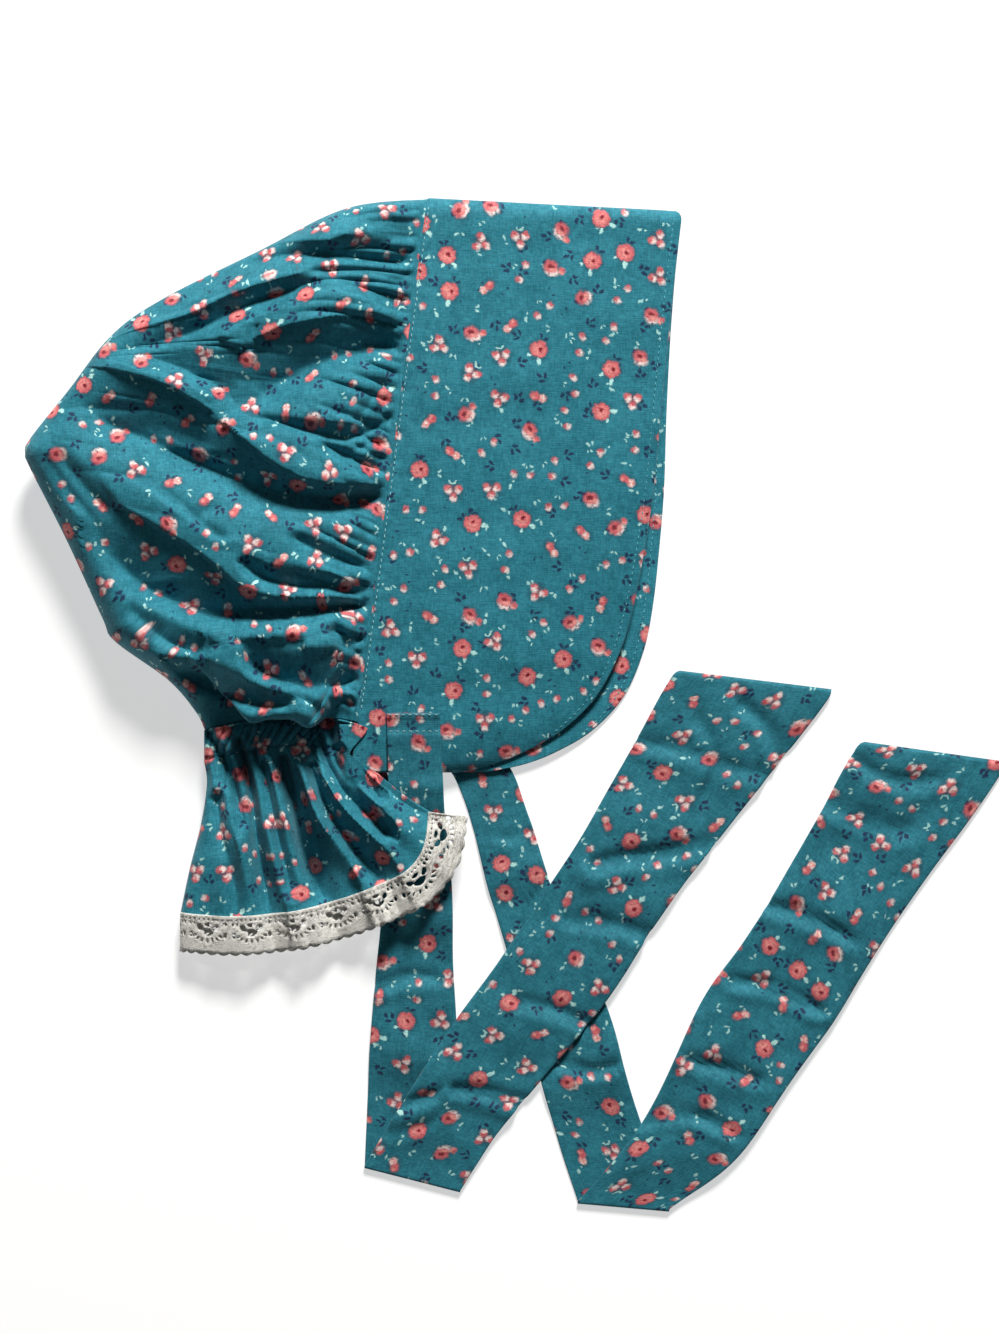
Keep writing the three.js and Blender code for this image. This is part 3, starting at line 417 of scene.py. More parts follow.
# Creases of the crown, most of them from the seam back over it: depth, and (u, v, width above, width below)
crownCreases = [
    (4, [(424, 233, 7, 6), (400, 235, 8, 5), (378, 231, 9, 8), (350, 224, 8, 8), (330, 222, 8, 8)]),
    (4, [(424, 246, 6, 5), (402, 244, 7, 6), (380, 249, 7, 7), (350, 252, 6, 8), (330, 252, 6, 8)]),
    (11, [(422, 256, 6, 5), (400, 265, 8, 6), (372, 264, 8, 7), (335, 262, 8, 8), (298, 261, 8, 9),
         (268, 265, 9, 9), (238, 273, 10, 10), (210, 286, 12, 11), (180, 300, 13, 12), (150, 312, 13, 12),
         (130, 324, 12, 12)]),
    (7, [(420, 281, 5, 5), (400, 284, 5, 5), (378, 280, 5, 6), (350, 278, 5, 6), (325, 279, 5, 6),
         (305, 280, 5, 6)]),
    (6, [(416, 309, 6, 5), (396, 308, 8, 6), (380, 301, 9, 7), (360, 291, 9, 8), (340, 284, 8, 8)]),
    (11, [(334, 287, 7, 8), (316, 290, 8, 8), (290, 298, 8, 8), (262, 307, 9, 9), (235, 318, 10, 10),
         (205, 334, 11, 11), (180, 343, 12, 11), (152, 350, 12, 12), (120, 356, 10, 12), (100, 360, 10, 12)]),
    (17, [(396, 350, 8, 7), (376, 348, 20, 12), (350, 356, 24, 18), (322, 366, 28, 22), (296, 378, 32, 24),
          (272, 394, 34, 26), (252, 410, 30, 12), (240, 420, 24, 10)]),
    (11, [(262, 440, 10, 6), (250, 420, 22, 7), (232, 399, 30, 7), (214, 385, 32, 8), (190, 374, 30, 8),
          (168, 366, 24, 9), (145, 360, 18, 10), (120, 356, 12, 10)]),
    (9, [(400, 420, 5, 5), (384, 426, 6, 5), (362, 438, 8, 5), (340, 441, 9, 5), (312, 435, 8, 5),
         (288, 428, 7, 5), (268, 423, 7, 5), (250, 424, 6, 6), (240, 428, 6, 6)]),
    (18, [(386, 499, 8, 8), (360, 501, 9, 11), (330, 503, 11, 14), (300, 500, 14, 18), (270, 493, 19, 22),
          (240, 481, 25, 24), (210, 469, 33, 22), (180, 455, 39, 20), (150, 441, 41, 18), (120, 430, 40, 18),
          (95, 412, 32, 18), (75, 396, 20, 16), (60, 385, 16, 14)]),
    (7, [(384, 519, 6, 5), (362, 512, 7, 6), (340, 506, 6, 7), (320, 506, 6, 7), (300, 509, 6, 7)]),
    (7, [(392, 466, 7, 5), (372, 468, 9, 5), (352, 462, 9, 5), (334, 452, 7, 5), (320, 446, 6, 5)]),
    (5, [(396, 446, 5, 4), (372, 446, 7, 4), (352, 457, 7, 4), (336, 460, 5, 4)]),
    (3.5, [(402, 376, 5, 4), (390, 385, 6, 4), (376, 400, 6, 5), (364, 420, 6, 6), (358, 430, 6, 6)]),
    (3.5, [(402, 392, 5, 4), (388, 404, 6, 4), (374, 424, 7, 5), (366, 434, 7, 5)]),
    (7, [(378, 564, 7, 5), (360, 566, 8, 5), (338, 561, 10, 5), (314, 549, 10, 6), (300, 541, 8, 6),
         (290, 536, 6, 6)]),
    (9, [(376, 591, 5, 5), (352, 592, 7, 5), (328, 587, 9, 6), (300, 587, 10, 6), (275, 581, 9, 6),
         (255, 570, 8, 6), (240, 560, 7, 6)]),
    (17, [(372, 606, 5, 5), (350, 607, 6, 6), (318, 610, 8, 8), (290, 612, 9, 9), (262, 613, 13, 9),
          (238, 615, 20, 9), (215, 614, 29, 9), (190, 607, 38, 9), (165, 596, 42, 10), (140, 580, 42, 12),
          (118, 556, 36, 14), (100, 528, 26, 14), (86, 505, 16, 12)]),
    (7, [(232, 644, 8, 5), (205, 650, 14, 5), (180, 645, 20, 6), (160, 632, 22, 7), (142, 614, 18, 8),
         (130, 600, 12, 9)]),
    (15, [(366, 676, 20, 5), (345, 683, 25, 5), (318, 686, 27, 5), (292, 682, 26, 5), (272, 674, 19, 5),
          (258, 664, 12, 6), (245, 655, 8, 6)]),
    (6, [(366, 640, 4, 4), (352, 644, 6, 5), (342, 638, 6, 5), (338, 626, 6, 5), (342, 614, 5, 5)]),
    (6, [(330, 694, 5, 5), (312, 697, 6, 5), (292, 697, 7, 6), (270, 696, 7, 6), (250, 698, 7, 6),
         (230, 694, 7, 6), (210, 686, 7, 6)]),
    (5, [(290, 519, 8, 6), (262, 512, 9, 7), (236, 508, 9, 7), (214, 514, 9, 8), (200, 524, 8, 8)]),
    (2.5, [(264, 316, 6, 6), (258, 340, 8, 7), (252, 368, 9, 8), (246, 395, 8, 8)]),
    (5, [(64, 440, 8, 8), (70, 462, 9, 9), (88, 486, 10, 10), (112, 512, 10, 12), (132, 540, 10, 14)]),
    (4, [(48, 452, 5, 5), (62, 472, 6, 6), (78, 494, 7, 7), (98, 518, 7, 8), (112, 535, 7, 8)]),
    (4, [(160, 590, 9, 9), (150, 562, 9, 9), (136, 536, 9, 9), (126, 520, 8, 8)]),
    (3, [(328, 400, 7, 7), (318, 382, 8, 8), (300, 366, 8, 8), (284, 352, 8, 8)]),
    (3, [(150, 480, 7, 7), (180, 500, 8, 8), (214, 530, 8, 8), (240, 548, 8, 8)]),
    (3, [(320, 640, 8, 6), (290, 646, 9, 7), (262, 648, 9, 8), (240, 644, 9, 8)]),
    (12, [(318, 700, 6, 5), (296, 703, 9, 5), (268, 704, 13, 5), (240, 698, 16, 5), (214, 688, 18, 5),
          (188, 674, 16, 5), (168, 658, 10, 6)]),
    (6, [(346, 722, 5, 4), (336, 708, 6, 4), (328, 694, 6, 4), (318, 686, 5, 4)]),
    (6, [(330, 722, 5, 4), (318, 706, 6, 4), (306, 697, 5, 4), (296, 690, 5, 4)]),
    (4, [(358, 712, 4, 4), (350, 702, 5, 4), (340, 690, 5, 4)])]
# The seam's top and the short pleats on it, by their height in the picture
seamTop = 202.5
gatherPlaces = [214, 226, 241, 256, 268, 279, 292, 305, 319, 332, 345, 357, 368, 380, 394, 409, 424, 439, 452,
                464, 478, 491, 503, 515, 529, 541, 552, 563, 576, 590, 603, 614, 627, 641, 655, 668, 681, 694, 707]
neckSet = {"wide": 85, "drop": 4, "arch": 7, "lift": 15, "roll": 8, "casing": 18, "flap": 8, "farSide": 1.9}
farMiddle = 0.6  # the middle of the lowest layer of cloth over the floor


def crownPlaced(rows):
    return [(-back * crownSet["depth"], up * seam["high"]) for back, up in rows]


neckBack = np.array([-neckSet["wide"], -neckSet["drop"]], float)
outlineSteps = 240
outline = Path([(seam["lean"], seam["high"])] + crownPlaced(crownTop + crownBack) + [tuple(neckBack)], 1400)
outlinePoints = outline.at(np.linspace(0, 1, outlineSteps + 1))


def nearestOutline(plan):
    flat = plan.reshape(-1, 2)
    a, b = outlinePoints[:-1], outlinePoints[1:]
    step = b - a
    size = (step ** 2).sum(1)
    distances, shares = [], []
    for block in np.array_split(flat, max(1, len(flat) // 3000)):
        part = np.clip(((block[:, None] - a) * step).sum(2) / size, 0, 1)
        gap = np.linalg.norm(a + part[..., None] * step - block[:, None], axis=2)
        best = gap.argmin(1)
        rows = np.arange(len(block))
        distances.append(gap[rows, best])
        shares.append((best + part[rows, best]) / outlineSteps)
    shape = plan.shape[:-1]
    return np.concatenate(distances).reshape(shape), np.concatenate(shares).reshape(shape)


crownCorner = np.array(crownPlaced(crownBack)[0])
cornerShare = float(nearestOutline(crownCorner[None, :])[1][0])


def neckPlan(q):
    arch = neckSet["arch"] * np.sin(math.pi * q) * (1 - 0.4 * q)
    return np.stack([-neckSet["wide"] * q, arch - neckSet["drop"] * q], axis=-1)


def neckHeight(near, q):
    front = np.where(near, brimHeight(0, seam["high"]), brimSet["wall"] / 2)
    side = np.where(near, neckSet["lift"], neckSet["farSide"])
    middle = farMiddle + neckSet["roll"]
    round_ = rollShare((1 - q) * neckSet["wide"], neckSet["roll"])
    return middle + round_ * (mix(front, side, ease(q, 0, 0.3)) - middle)


def crownPlan(s, t):
    reach = along(crownLines, s)
    w = mix(s, reach, t)[..., None]
    top, bottom = outline.at(cornerShare * t), neckPlan(t)
    edge = np.stack([seamX(seam["high"] * s), seam["high"] * (1 - s)], axis=-1)
    back = outline.at(mix(cornerShare, 1, reach))
    t = t[..., None]
    plan = top * (1 - w) + bottom * w + edge * (1 - t) + back * t
    return plan - outline.at(0) * (1 - t) * (1 - w) - crownCorner * t * (1 - w) - neckBack * t * w


def gatherTable():
    # Pleats that start at the seam, each with its own length, lean and depth. They pull on the brim's cloth too.
    rng = np.random.default_rng(12)
    table = []
    for k, v in enumerate(gatherPlaces):
        at = (v - seamTop) / (seam["high"] / millimetresAPixel)
        reach = rng.uniform(0.1, 0.2) if k % 3 else rng.uniform(0.18, 0.32)
        table.append((at, rng.uniform(-0.05, 0.05), -0.1, reach + 0.1, rng.uniform(0.6, 1.15),
                      0.0075 * rng.uniform(0.8, 1.2), 0.0065 * rng.uniform(0.8, 1.2)))
    return table


def wrinkleTable():
    # Long faint creases between the main folds.
    rng = np.random.default_rng(23)
    table = []
    for k in range(crownSet["wrinkles"]):
        start = rng.uniform(-0.1, 0.7)
        fine = 1 if k % 3 else 2
        table.append((rng.uniform(0.04, 0.97), rng.uniform(-0.12, 0.16), start, start + rng.uniform(0.3, 0.5),
                      rng.uniform(-0.55, 0.9) * fine ** 0.7, rng.uniform(0.004, 0.009) * fine,
                      rng.uniform(0.0035, 0.007) * fine))
    return table


def crownSurface(near, s, t):
    plan = crownPlan(s, t)
    distance, share = nearestOutline(plan)
    belly = np.sin(math.pi * share)
    roll = mix(brimSet["rollSeam"], neckSet["roll"], share) + crownSet["roll"] * belly
    middle = mix(brimSet["wall"] / 2 + brimSet["rollSeam"], farMiddle + neckSet["roll"], share)
    middle = middle + crownSet["lift"] * belly
    round_ = rollShare(distance, roll)
    drop = seam["high"] * s
    edge = brimSurface(near, drop, np.zeros_like(s))[..., 2]
    seamFree = ease(t, 0, 0.07)
    neckFree = ease(1 - s, 0, 0.06)
    if near:
        risen = np.sqrt(ease(t, -0.02, crownSet["puffRise"])) * ease(1 - s, 0, crownSet["puffFade"])
        top = brimHeight(0, drop) + crownSet["puff"] * risen * (1 - crownSet["backDrop"] * t)
        # the cloth hangs over the top of the casing
        sway = 1 + crownSet["sway"] * softNoise(plan[..., 0], plan[..., 1] * 0, 22, 31)
        away = np.maximum(0, plan[..., 1] - neckPlan(t)[..., 1])
        inLip = ease(distance, 0.5, 9) * ease(t, 0.08, 0.24) * (1 - ease(t, 0.5, 0.8))
        drawn = crownSet["drawn"] * ease(s, 0.8, 0.95) * away * inLip
        lip = np.clip((s - crownSet["lipFrom"]) / (1 - crownSet["lipFrom"]), 0, 1)
        lip = np.maximum(0, np.sin(math.pi * lip)) ** 0.8 * inLip
        plan[..., 1] -= drawn + crownSet["lip"] * lip * sway
        creased = creases(crownCreases, plan) * mix(0.35, 1, ease(t, 0, 0.05)) * neckFree
        gather = np.minimum(valleys(gatherTable(), s, t, 1.5), crownSet["gatherMost"])
        gather = gather * ease(t, -0.005, 0.03) * ease(s, 0, 0.03) * (1 - 0.6 * ease(creased, 3, 9))
        wrinkle = valleys(wrinkleTable(), s, t, 1.4) * ease(t, 0.02, 0.15) * neckFree * ease(s, 0, 0.05)
        z = middle + round_ * (top - middle)
        z = z - round_ * round_ * (creased + crownSet["gatherDeep"] * gather + crownSet["wrinkle"] * wrinkle)
        wave = crownSet["wave"] * softNoise(plan[..., 0], plan[..., 1], 55, 3)
        z = z + round_ * seamFree * neckFree * wave
        z = mix(neckHeight(True, t) - crownSet["neckSink"], z, ease(1 - s, 0, 0.045))
        z = mix(edge, z, np.maximum(seamFree, ease(t, 0, 0.03) * 0.6))
    else:
        swell = 0.5 + 0.5 * np.prod(np.sin(plan / crownSet["swellPitch"]), axis=-1)
        low = farMiddle + crownSet["swell"] * swell
        z = middle + round_ * (low - middle)
        z = mix(edge, mix(neckHeight(False, t), z, neckFree), seamFree)
        plan[..., 0] += farSlip(drop) * (1 - t)
    return np.stack([plan[..., 0], plan[..., 1], z], axis=-1)


def makeCrown():
    rows = rolledDistance(np.linspace(0, 1, crownSet["rows"]), brimSet["rollSeam"], seam["high"]) / seam["high"]
    patches = []
    for near, count in ((True, crownSet["nearColumns"]), (False, crownSet["farColumns"])):
        way = np.linspace(0, 1, count) ** (crownSet["crowd"] if near else 1)
        columns = 1 - rolledDistance(1 - way, crownSet["roll"], crownSet["depth"]) / crownSet["depth"]
        s, t = np.meshgrid(rows, columns, indexing="ij")
        points = crownSurface(near, s, t)
        if near:
            nearPoints, nearColumns = points, columns
        else:  # the far layer takes the near one's edges
            points[:, -1] = nearPoints[:, -1]
            points[0] = np.stack([np.interp(columns, nearColumns, line) for line in nearPoints[0].T], axis=-1)
        points[:, 0, 0] += crownSet["underBrim"]
        patches.append((points, flatMap(points, (10, 4 if near else 3)), near))
    return weldedSheet("crownBag", patches, crownSet["wall"])


ruffleSet = {"drop": 85, "reach": 133, "lift": 15, "wall": 0.9, "casingRows": 34, "rows": 110, "columns": 210,
             "farColumns": 90, "swell": 2.2, "nearSwell": 8, "small": 0.9, "fine": 0.3, "least": 1.2,
             "farShare": 0.35, "overBrim": 0.65, "overTie": 1.4}
# Heights that the ruffle's front keeps over the near tie, by the distance below the seam's foot
overTieHeights = [(26, 17.4), (42, 15.6), (60, 10.2), (83, 6.6), (106, 3.8), (135, 1.4)]
# Edges of the ruffle: (shares of its reach, shares of its drop)
ruffleBack = [(0, 0), (0.012, 0.15), (-0.015, 0.42), (-0.06, 0.7), (-0.1, 1)]
ruffleHemNear = [(-0.1, 1), (0.12, 1.02), (0.36, 0.99), (0.56, 0.915), (0.72, 0.82), (0.85, 0.72),
                 (0.925, 0.56), (0.947, 0.327)]
ruffleHemFar = [(-0.1, 1), (0.12, 1.02), (0.36, 0.99), (0.56, 0.915), (0.7, 0.8), (0.79, 0.62), (0.83, 0.38)]
ruffleFrontNear = [(0.65, -0.047), (0.75, 0.07), (0.825, 0.18), (0.885, 0.26), (0.947, 0.327)]
ruffleFrontFar = [(0.74, -0.047), (0.76, 0.1), (0.79, 0.25), (0.83, 0.38)]
# Creases of the ruffle, as the crown's are given, from the casing down
ruffleCreases = [
    (12, [(240, 742, 3, 4), (247, 768, 4, 6), (253, 800, 5, 8), (258, 835, 6, 10), (264, 870, 7, 11),
          (271, 905, 8, 12), (277, 930, 8, 12)]),
    (19, [(284, 760, 4, 6), (290, 786, 5, 9), (297, 812, 5, 13), (303, 842, 6, 20), (311, 868, 7, 28),
          (320, 888, 8, 30), (328, 906, 8, 30)]),
    (13, [(312, 766, 3, 5), (322, 794, 4, 8), (335, 820, 5, 12), (352, 845, 5, 16), (370, 866, 6, 18),
          (384, 880, 6, 14)]),
    (12, [(318, 726, 3, 5), (326, 758, 4, 8), (340, 782, 4, 9), (357, 803, 5, 10), (376, 820, 5, 10),
          (392, 836, 5, 9)]),
    (8, [(210, 735, 4, 5), (224, 758, 4, 6), (235, 783, 5, 7), (243, 808, 5, 8), (248, 830, 6, 8)]),
    (9, [(264, 762, 3, 4), (271, 794, 4, 6), (278, 827, 5, 8), (286, 862, 5, 9), (294, 895, 6, 9)]),
    (10, [(324, 700, 3, 5), (331, 722, 4, 6), (333, 745, 4, 7), (341, 766, 4, 7), (356, 784, 5, 7)]),
    (9, [(307, 704, 3, 4), (312, 722, 4, 5), (313, 746, 4, 5), (319, 772, 4, 6)]),
    (6, [(218, 800, 5, 8), (226, 840, 6, 9), (236, 880, 7, 10), (242, 920, 7, 10)]),
    (7, [(340, 748, 3, 5), (352, 766, 4, 6), (368, 784, 4, 6), (384, 798, 4, 6)]),
    (7, [(296, 770, 3, 4), (304, 796, 4, 5), (314, 822, 4, 5), (324, 842, 4, 5)]),
    (6, [(256, 752, 3, 4), (262, 776, 4, 5), (266, 800, 4, 6), (270, 824, 4, 6)])]


def neckPoint(side, below):
    near = side > 0
    q = 1 - rolledDistance(np.abs(side), neckSet["roll"], neckSet["wide"]) / neckSet["wide"]
    plan = neckPlan(q)
    flap = neckSet["flap"] * ease(below, -0.5, 3.5) * (1 - ease(below, 3, 18))
    front = seamX(seam["high"] + below) - 1.6 + np.where(near, flap, farSlip(seam["high"] + below))
    return np.stack([plan[..., 0] + front * (1 - q), plan[..., 1] - below, neckHeight(near, q)], axis=-1)


def ruffleScale(points):
    x, y = neckBack[0], neckBack[1] - neckSet["casing"]
    return [(x + out * ruffleSet["reach"], y - down * ruffleSet["drop"]) for out, down in points]


backEdge = Path(ruffleScale(ruffleBack))
hems = {True: Path(ruffleScale(ruffleHemNear)), False: Path(ruffleScale(ruffleHemFar))}
fronts = {True: Path(ruffleScale(ruffleFrontNear)), False: Path(ruffleScale(ruffleFrontFar))}


def rufflePoint(near, side, t):
    span = hems[near].length
    away = rolledDistance(np.abs(side), neckSet["roll"], span)
    s = away / span
    q = 1 - np.minimum(1, rolledDistance(np.abs(side), neckSet["roll"], neckSet["wide"]) / neckSet["wide"])
    top = neckPoint(side, neckSet["casing"])[..., :2]
    low = hems[near].at(s)
    back, fore = backEdge.at(t), fronts[near].at(t)
    sT, tT = s[..., None], t[..., None]
    first = mix(backEdge.at(0), fronts[near].at(0), sT)
    last = mix(backEdge.at(1), fronts[near].at(1), sT)
    plan = mix(top, low, tT) + mix(back, fore, sT) - mix(first, last, tT)
    middle = farMiddle + neckSet["roll"]
    round_ = rollShare(away, neckSet["roll"])
    opened = ease(t, 0, 0.3)
    casingHeight = neckHeight(near, q)
    if near:
        z = mix(casingHeight, ruffleSet["lift"], opened)
    else:
        z = mix(casingHeight, farMiddle + ruffleSet["swell"] * (0.5 + 0.5 * np.sin(s * 31 + t)), opened)
    z = mix(middle, z, mix(np.ones_like(round_), round_, opened))
    return np.stack([plan[..., 0], plan[..., 1], z], axis=-1)


puckerSet = {"pitch": 4.6, "high": 5, "front": 22, "seamDip": 2.2, "lean": 5, "level": 0.25, "start": 0.4}


def pucker(q, way):
    # Tight elastic puckers behind the loose front of the neck.
    x = neckSet["wide"] * q
    wander = 1.2 * np.sin(x * 0.21 + 1) + 0.5 * np.sin(x * 0.53)
    ridge = np.abs(np.sin(math.pi * (x + wander - puckerSet["lean"] * way) / puckerSet["pitch"])) ** 0.6
    ridge = ridge * (0.8 + 0.25 * np.sin(x * 1.1) + 0.2 * np.sin(x * 0.37))
    return ridge * ease(x, puckerSet["front"] - 4, puckerSet["front"] + 5)


def curtainSurface(near, side, v):
    # v from 0 at the casing's top to 1 at its foot, and on to 2 at the hem
    out = np.abs(side)
    q = 1 - rolledDistance(out, neckSet["roll"], neckSet["wide"]) / neckSet["wide"]
    casing = neckPoint(side, mix(puckerSet["start"], neckSet["casing"], np.clip(v, 0, 1)))
    t = np.clip(v - 1, 0, 1)
    points = np.where((v <= 1)[..., None], casing, rufflePoint(near, side, t))
    inCasing = np.where(v <= 1, 1, 1 - ease(t, 0, 0.55))
    pinch = np.exp(-((v - 0.1) / 0.07) ** 2) + np.exp(-((v - 0.93) / 0.07) ** 2)
    bulge = np.where(v <= 1, 0.35 + 0.65 * np.maximum(0, np.sin(math.pi * np.clip(v, 0, 1))) ** 0.7, 0.35)
    rise = puckerSet["high"] * (pucker(q, v) - puckerSet["level"]) * bulge * inCasing
    share = 1 if near else -ruffleSet["farShare"]
    points[..., 2] += share * (rise - puckerSet["seamDip"] * pinch) * ease(out, 0, 0.08)
    if near:
        points[..., 2] = nearCurtainHeight(points, out, v, t)
    return points


def nearCurtainHeight(points, out, v, t):
    # The flared folds, and the front edge that lies on the brim and the near tie.
    x, y, z = np.moveaxis(points, -1, 0)
    away = out * hems[True].length
    small = ruffleSet["small"] * softNoise(away * 2.2 + 9 * t, 14 * t, 34, 8)
    small = small + ruffleSet["fine"] * softNoise(away, 40 * t, 18, 9)
    swell = ruffleSet["nearSwell"] * ease(v, 1.0, 1.5) * ease(out, 0.02, 0.2) * (1 - ease(out, 0.86, 1))
    folds = creases(ruffleCreases, points, inner=0, flip=True, last=0.9) * ease(out, 0, 0.06)
    z = z + small * ease(v, 0.9, 1.25) * ease(out, 0.02, 0.12)
    z = z + swell * (1 - 0.5 * ease(v, 1.6, 2)) - folds * (1 - 0.4 * ease(v, 1.7, 2))
    z = np.maximum(z, ruffleSet["least"])
    drop = seam["high"] - y
    past = x - seamX(drop)
    brimTop = brimHeight(np.clip(past / brimSet["depth"], 0, 1), drop) + brimSet["wall"] / 2
    over = ease(past, -9, -1) * (1 - ease(drop, 319, 338))
    z = z + np.maximum(0, brimTop + ruffleSet["overBrim"] - z) * over
    onTie = ease(x, 6, 13) * (1 - ease(x, 47, 56))
    return np.maximum(z, onTie * (along(overTieHeights, -y) + ruffleSet["overTie"]))


def makeCurtain():
    patches = []
    v = np.concatenate([np.linspace(0, 1, ruffleSet["casingRows"]), 1 + np.linspace(0, 1, ruffleSet["rows"])[1:]])
    for near in (True, False):
        columns = np.linspace(0, 1, ruffleSet["columns" if near else "farColumns"])
        side, vv = np.meshgrid(columns if near else -columns, v, indexing="xy")
        if near:
            side[:, 0] = 1e-9
        points = curtainSurface(near, side, vv)
        if not near:
            points[:, 0] = patches[0][0][:, 0]
        patches.append((points, flatMap(points, (5, 6 if near else 4)) + (160, 90), near))
    return weldedSheet("neckCurtain", patches, ruffleSet["wall"])


laceSet = {"wide": 21, "gap": -1.2, "wall": 0.7, "sagNear": 0.14, "sagFar": 0.02, "slope": 0.4, "scallop": 1.3,
           "pitch": 22.4, "cellHigh": 22.2, "scallops": 4, "border": 0.6, "mesh": 1.5, "clear": 0.75, "wave": 0.5}
# One cell of the lace: a big eye with three small ones over it, a fan of slits below, and rows of small holes.
# Each hole is its middle, its two half sizes, its turn, its corners and how much it narrows to a tip.
laceCell = [(0, 9.6, 3.0, 2.0, 0.1, 14, 0.3), (-4.3, 7.2, 2.0, 1.25, 0.7, 12, 0.3),
            (4.3, 7.2, 2.0, 1.25, -0.7, 12, 0.3), (0, 5.4, 1.9, 1.0, 0, 12, 0.3)]
laceCell += [(7.59 * math.sin(a), 9.2 + 5.2 * math.cos(a), 0.5, 1.25, -a, 8, 0) for a in np.arange(-3, 4) * 0.36]
laceCell += [(x, 4.6, 0.62, 1.0, 0, 8, 0) for x in (-9.4, -7.2, 7.2, 9.4)]
laceCell += [(x, 11.2, 0.9, 1.5, 0, 8, 0) for x in (-9.0, 9.0)]
laceCell += [(x, 2.6, 0.45, 0.45, 0, 6, 0) for x in np.arange(-10, 11, 2.5)]


def laceFrame(near, side):
    # The hem's place, the way out square to it, and the cloth's slope there.
    step, one = 0.004, np.ones_like(side)
    a, b = (rufflePoint(near, np.clip(side + way, -1, 1), one) for way in (-step, step))
    hem, inner = (curtainSurface(near, side, v * one) for v in (2.0, 1.93))
    run = b[..., :2] - a[..., :2]
    run /= np.maximum(np.linalg.norm(run, axis=-1, keepdims=True), 1e-9)
    square = np.stack([run[..., 1], -run[..., 0]], axis=-1) * np.sign(side)[..., None]
    straight = np.array([-0.03, -1.0])  # at the back, where the hem turns under
    square = mix(square, straight, (1 - ease(np.abs(side), 0.04, 0.09))[..., None])
    slope = (hem[..., 2] - inner[..., 2]) / np.maximum(1, np.linalg.norm(hem - inner, axis=-1))
    return np.concatenate([hem, square, slope[..., None]], axis=-1)


def lacePoint(side, v):
    found = np.where((side > 0)[..., None], laceFrame(True, side), laceFrame(False, side))
    hemX, hemY, hemZ, squareX, squareY, slope = np.moveaxis(found, -1, 0)
    out = laceSet["gap"] + v * (laceSet["wide"] - laceSet["gap"])
    sag = np.where(side > 0, laceSet["sagNear"], laceSet["sagFar"])
    cloth = hemZ + (laceSet["slope"] * np.clip(slope, -0.4, 0.2) - sag) * out + laceSet["clear"]
    z = np.maximum(laceSet["wall"] / 2, cloth + laceSet["wave"] * np.sin(side * 61) * ease(v, 0.1, 0.9))
    return np.stack([hemX + squareX * out, hemY + squareY * out, z], axis=-1)


def holeRing(x, y, a, b, turn, count, tip):
    angle = np.linspace(0, 2 * math.pi, count, endpoint=False)
    px, py = a * np.cos(angle) * (1 - tip * np.sin(angle)), b * np.sin(angle)
    c, s = math.cos(turn), math.sin(turn)
    return np.stack([x + px * c - py * s, y + px * s + py * c], axis=1)


def makeLace():
    length = hems[True].length + hems[False].length
    cells = round(length / laceSet["pitch"])
    pitch = length / cells
    wide = laceSet["wide"] - laceSet["gap"]
    points, edges = [], []

    def addRing(ring):
        n, first = len(ring), len(points)
        points.extend(ring.tolist())
        edges.extend([(first + i, first + (i + 1) % n) for i in range(n)])

    x = np.linspace(0, length, cells * 24 + 1)
    bump = np.abs(np.sin(math.pi * x * laceSet["scallops"] / pitch))
    low = np.stack([x, wide - laceSet["scallop"] * (1 - bump)], axis=1)
    high = np.stack([x[::-1], np.zeros_like(x)], axis=1)
    addRing(np.concatenate([low, high]))
    holes = []
    for k in range(cells):
        for hole in laceCell:
            moved = holeRing(*hole) * (pitch / laceSet["pitch"], wide / laceSet["cellHigh"]) + ((k + 0.5) * pitch, 0)
            if moved[:, 0].min() < laceSet["border"] or moved[:, 0].max() > length - laceSet["border"]:
                continue
            holes.append(moved)
            addRing(moved)
    grid = np.array([(a, b) for a in np.arange(1.3, length - 1, laceSet["mesh"])
                     for b in np.arange(1.0, wide - 2.2, laceSet["mesh"])])
    keep = np.ones(len(grid), bool)
    for ring in holes:
        centre = ring.mean(0)
        size = np.abs(ring - centre).max(0) + 0.5
        keep &= (((grid - centre) / size) ** 2).sum(1) > 1
    points.extend(grid[keep].tolist())
    verts, _, faces, _, _, _ = geometry.delaunay_2d_cdt([Vector(p) for p in points], edges, [], 0, 1e-5)
    flat = np.array([tuple(v) for v in verts])
    tri = np.array([tuple(f) for f in faces])
    centre = flat[tri].mean(1)
    inside = np.ones(len(tri), bool)
    for ring in holes:
        box = (centre > ring.min(0) - 0.01).all(1) & (centre < ring.max(0) + 0.01).all(1)
        index = np.where(box)[0]
        inside[index[insideRing(centre[index], ring)]] = False
    edge = np.interp(centre[:, 0], x, low[:, 1])
    inside &= centre[:, 1] < edge + 0.02
    tri = tri[inside]
    used = np.unique(tri)
    renumber = np.full(len(flat), -1)
    renumber[used] = np.arange(len(used))
    flat, tri = flat[used], renumber[tri]
    area = np.cross(flat[tri[:, 1]] - flat[tri[:, 0]], flat[tri[:, 2]] - flat[tri[:, 0]])
    tri[area < 0] = tri[area < 0][:, ::-1]
    side = sideAlong(flat[:, 0])
    shape = lacePoint(side, flat[:, 1] / wide)
    piece = newObject("laceBand", toModel(shape), tri.tolist(), flat)
    apply(piece, ("SOLIDIFY", {"thickness": laceSet["wall"] / 1000, "offset": 0, "use_rim": True}))
    smooth(piece)
    return piece


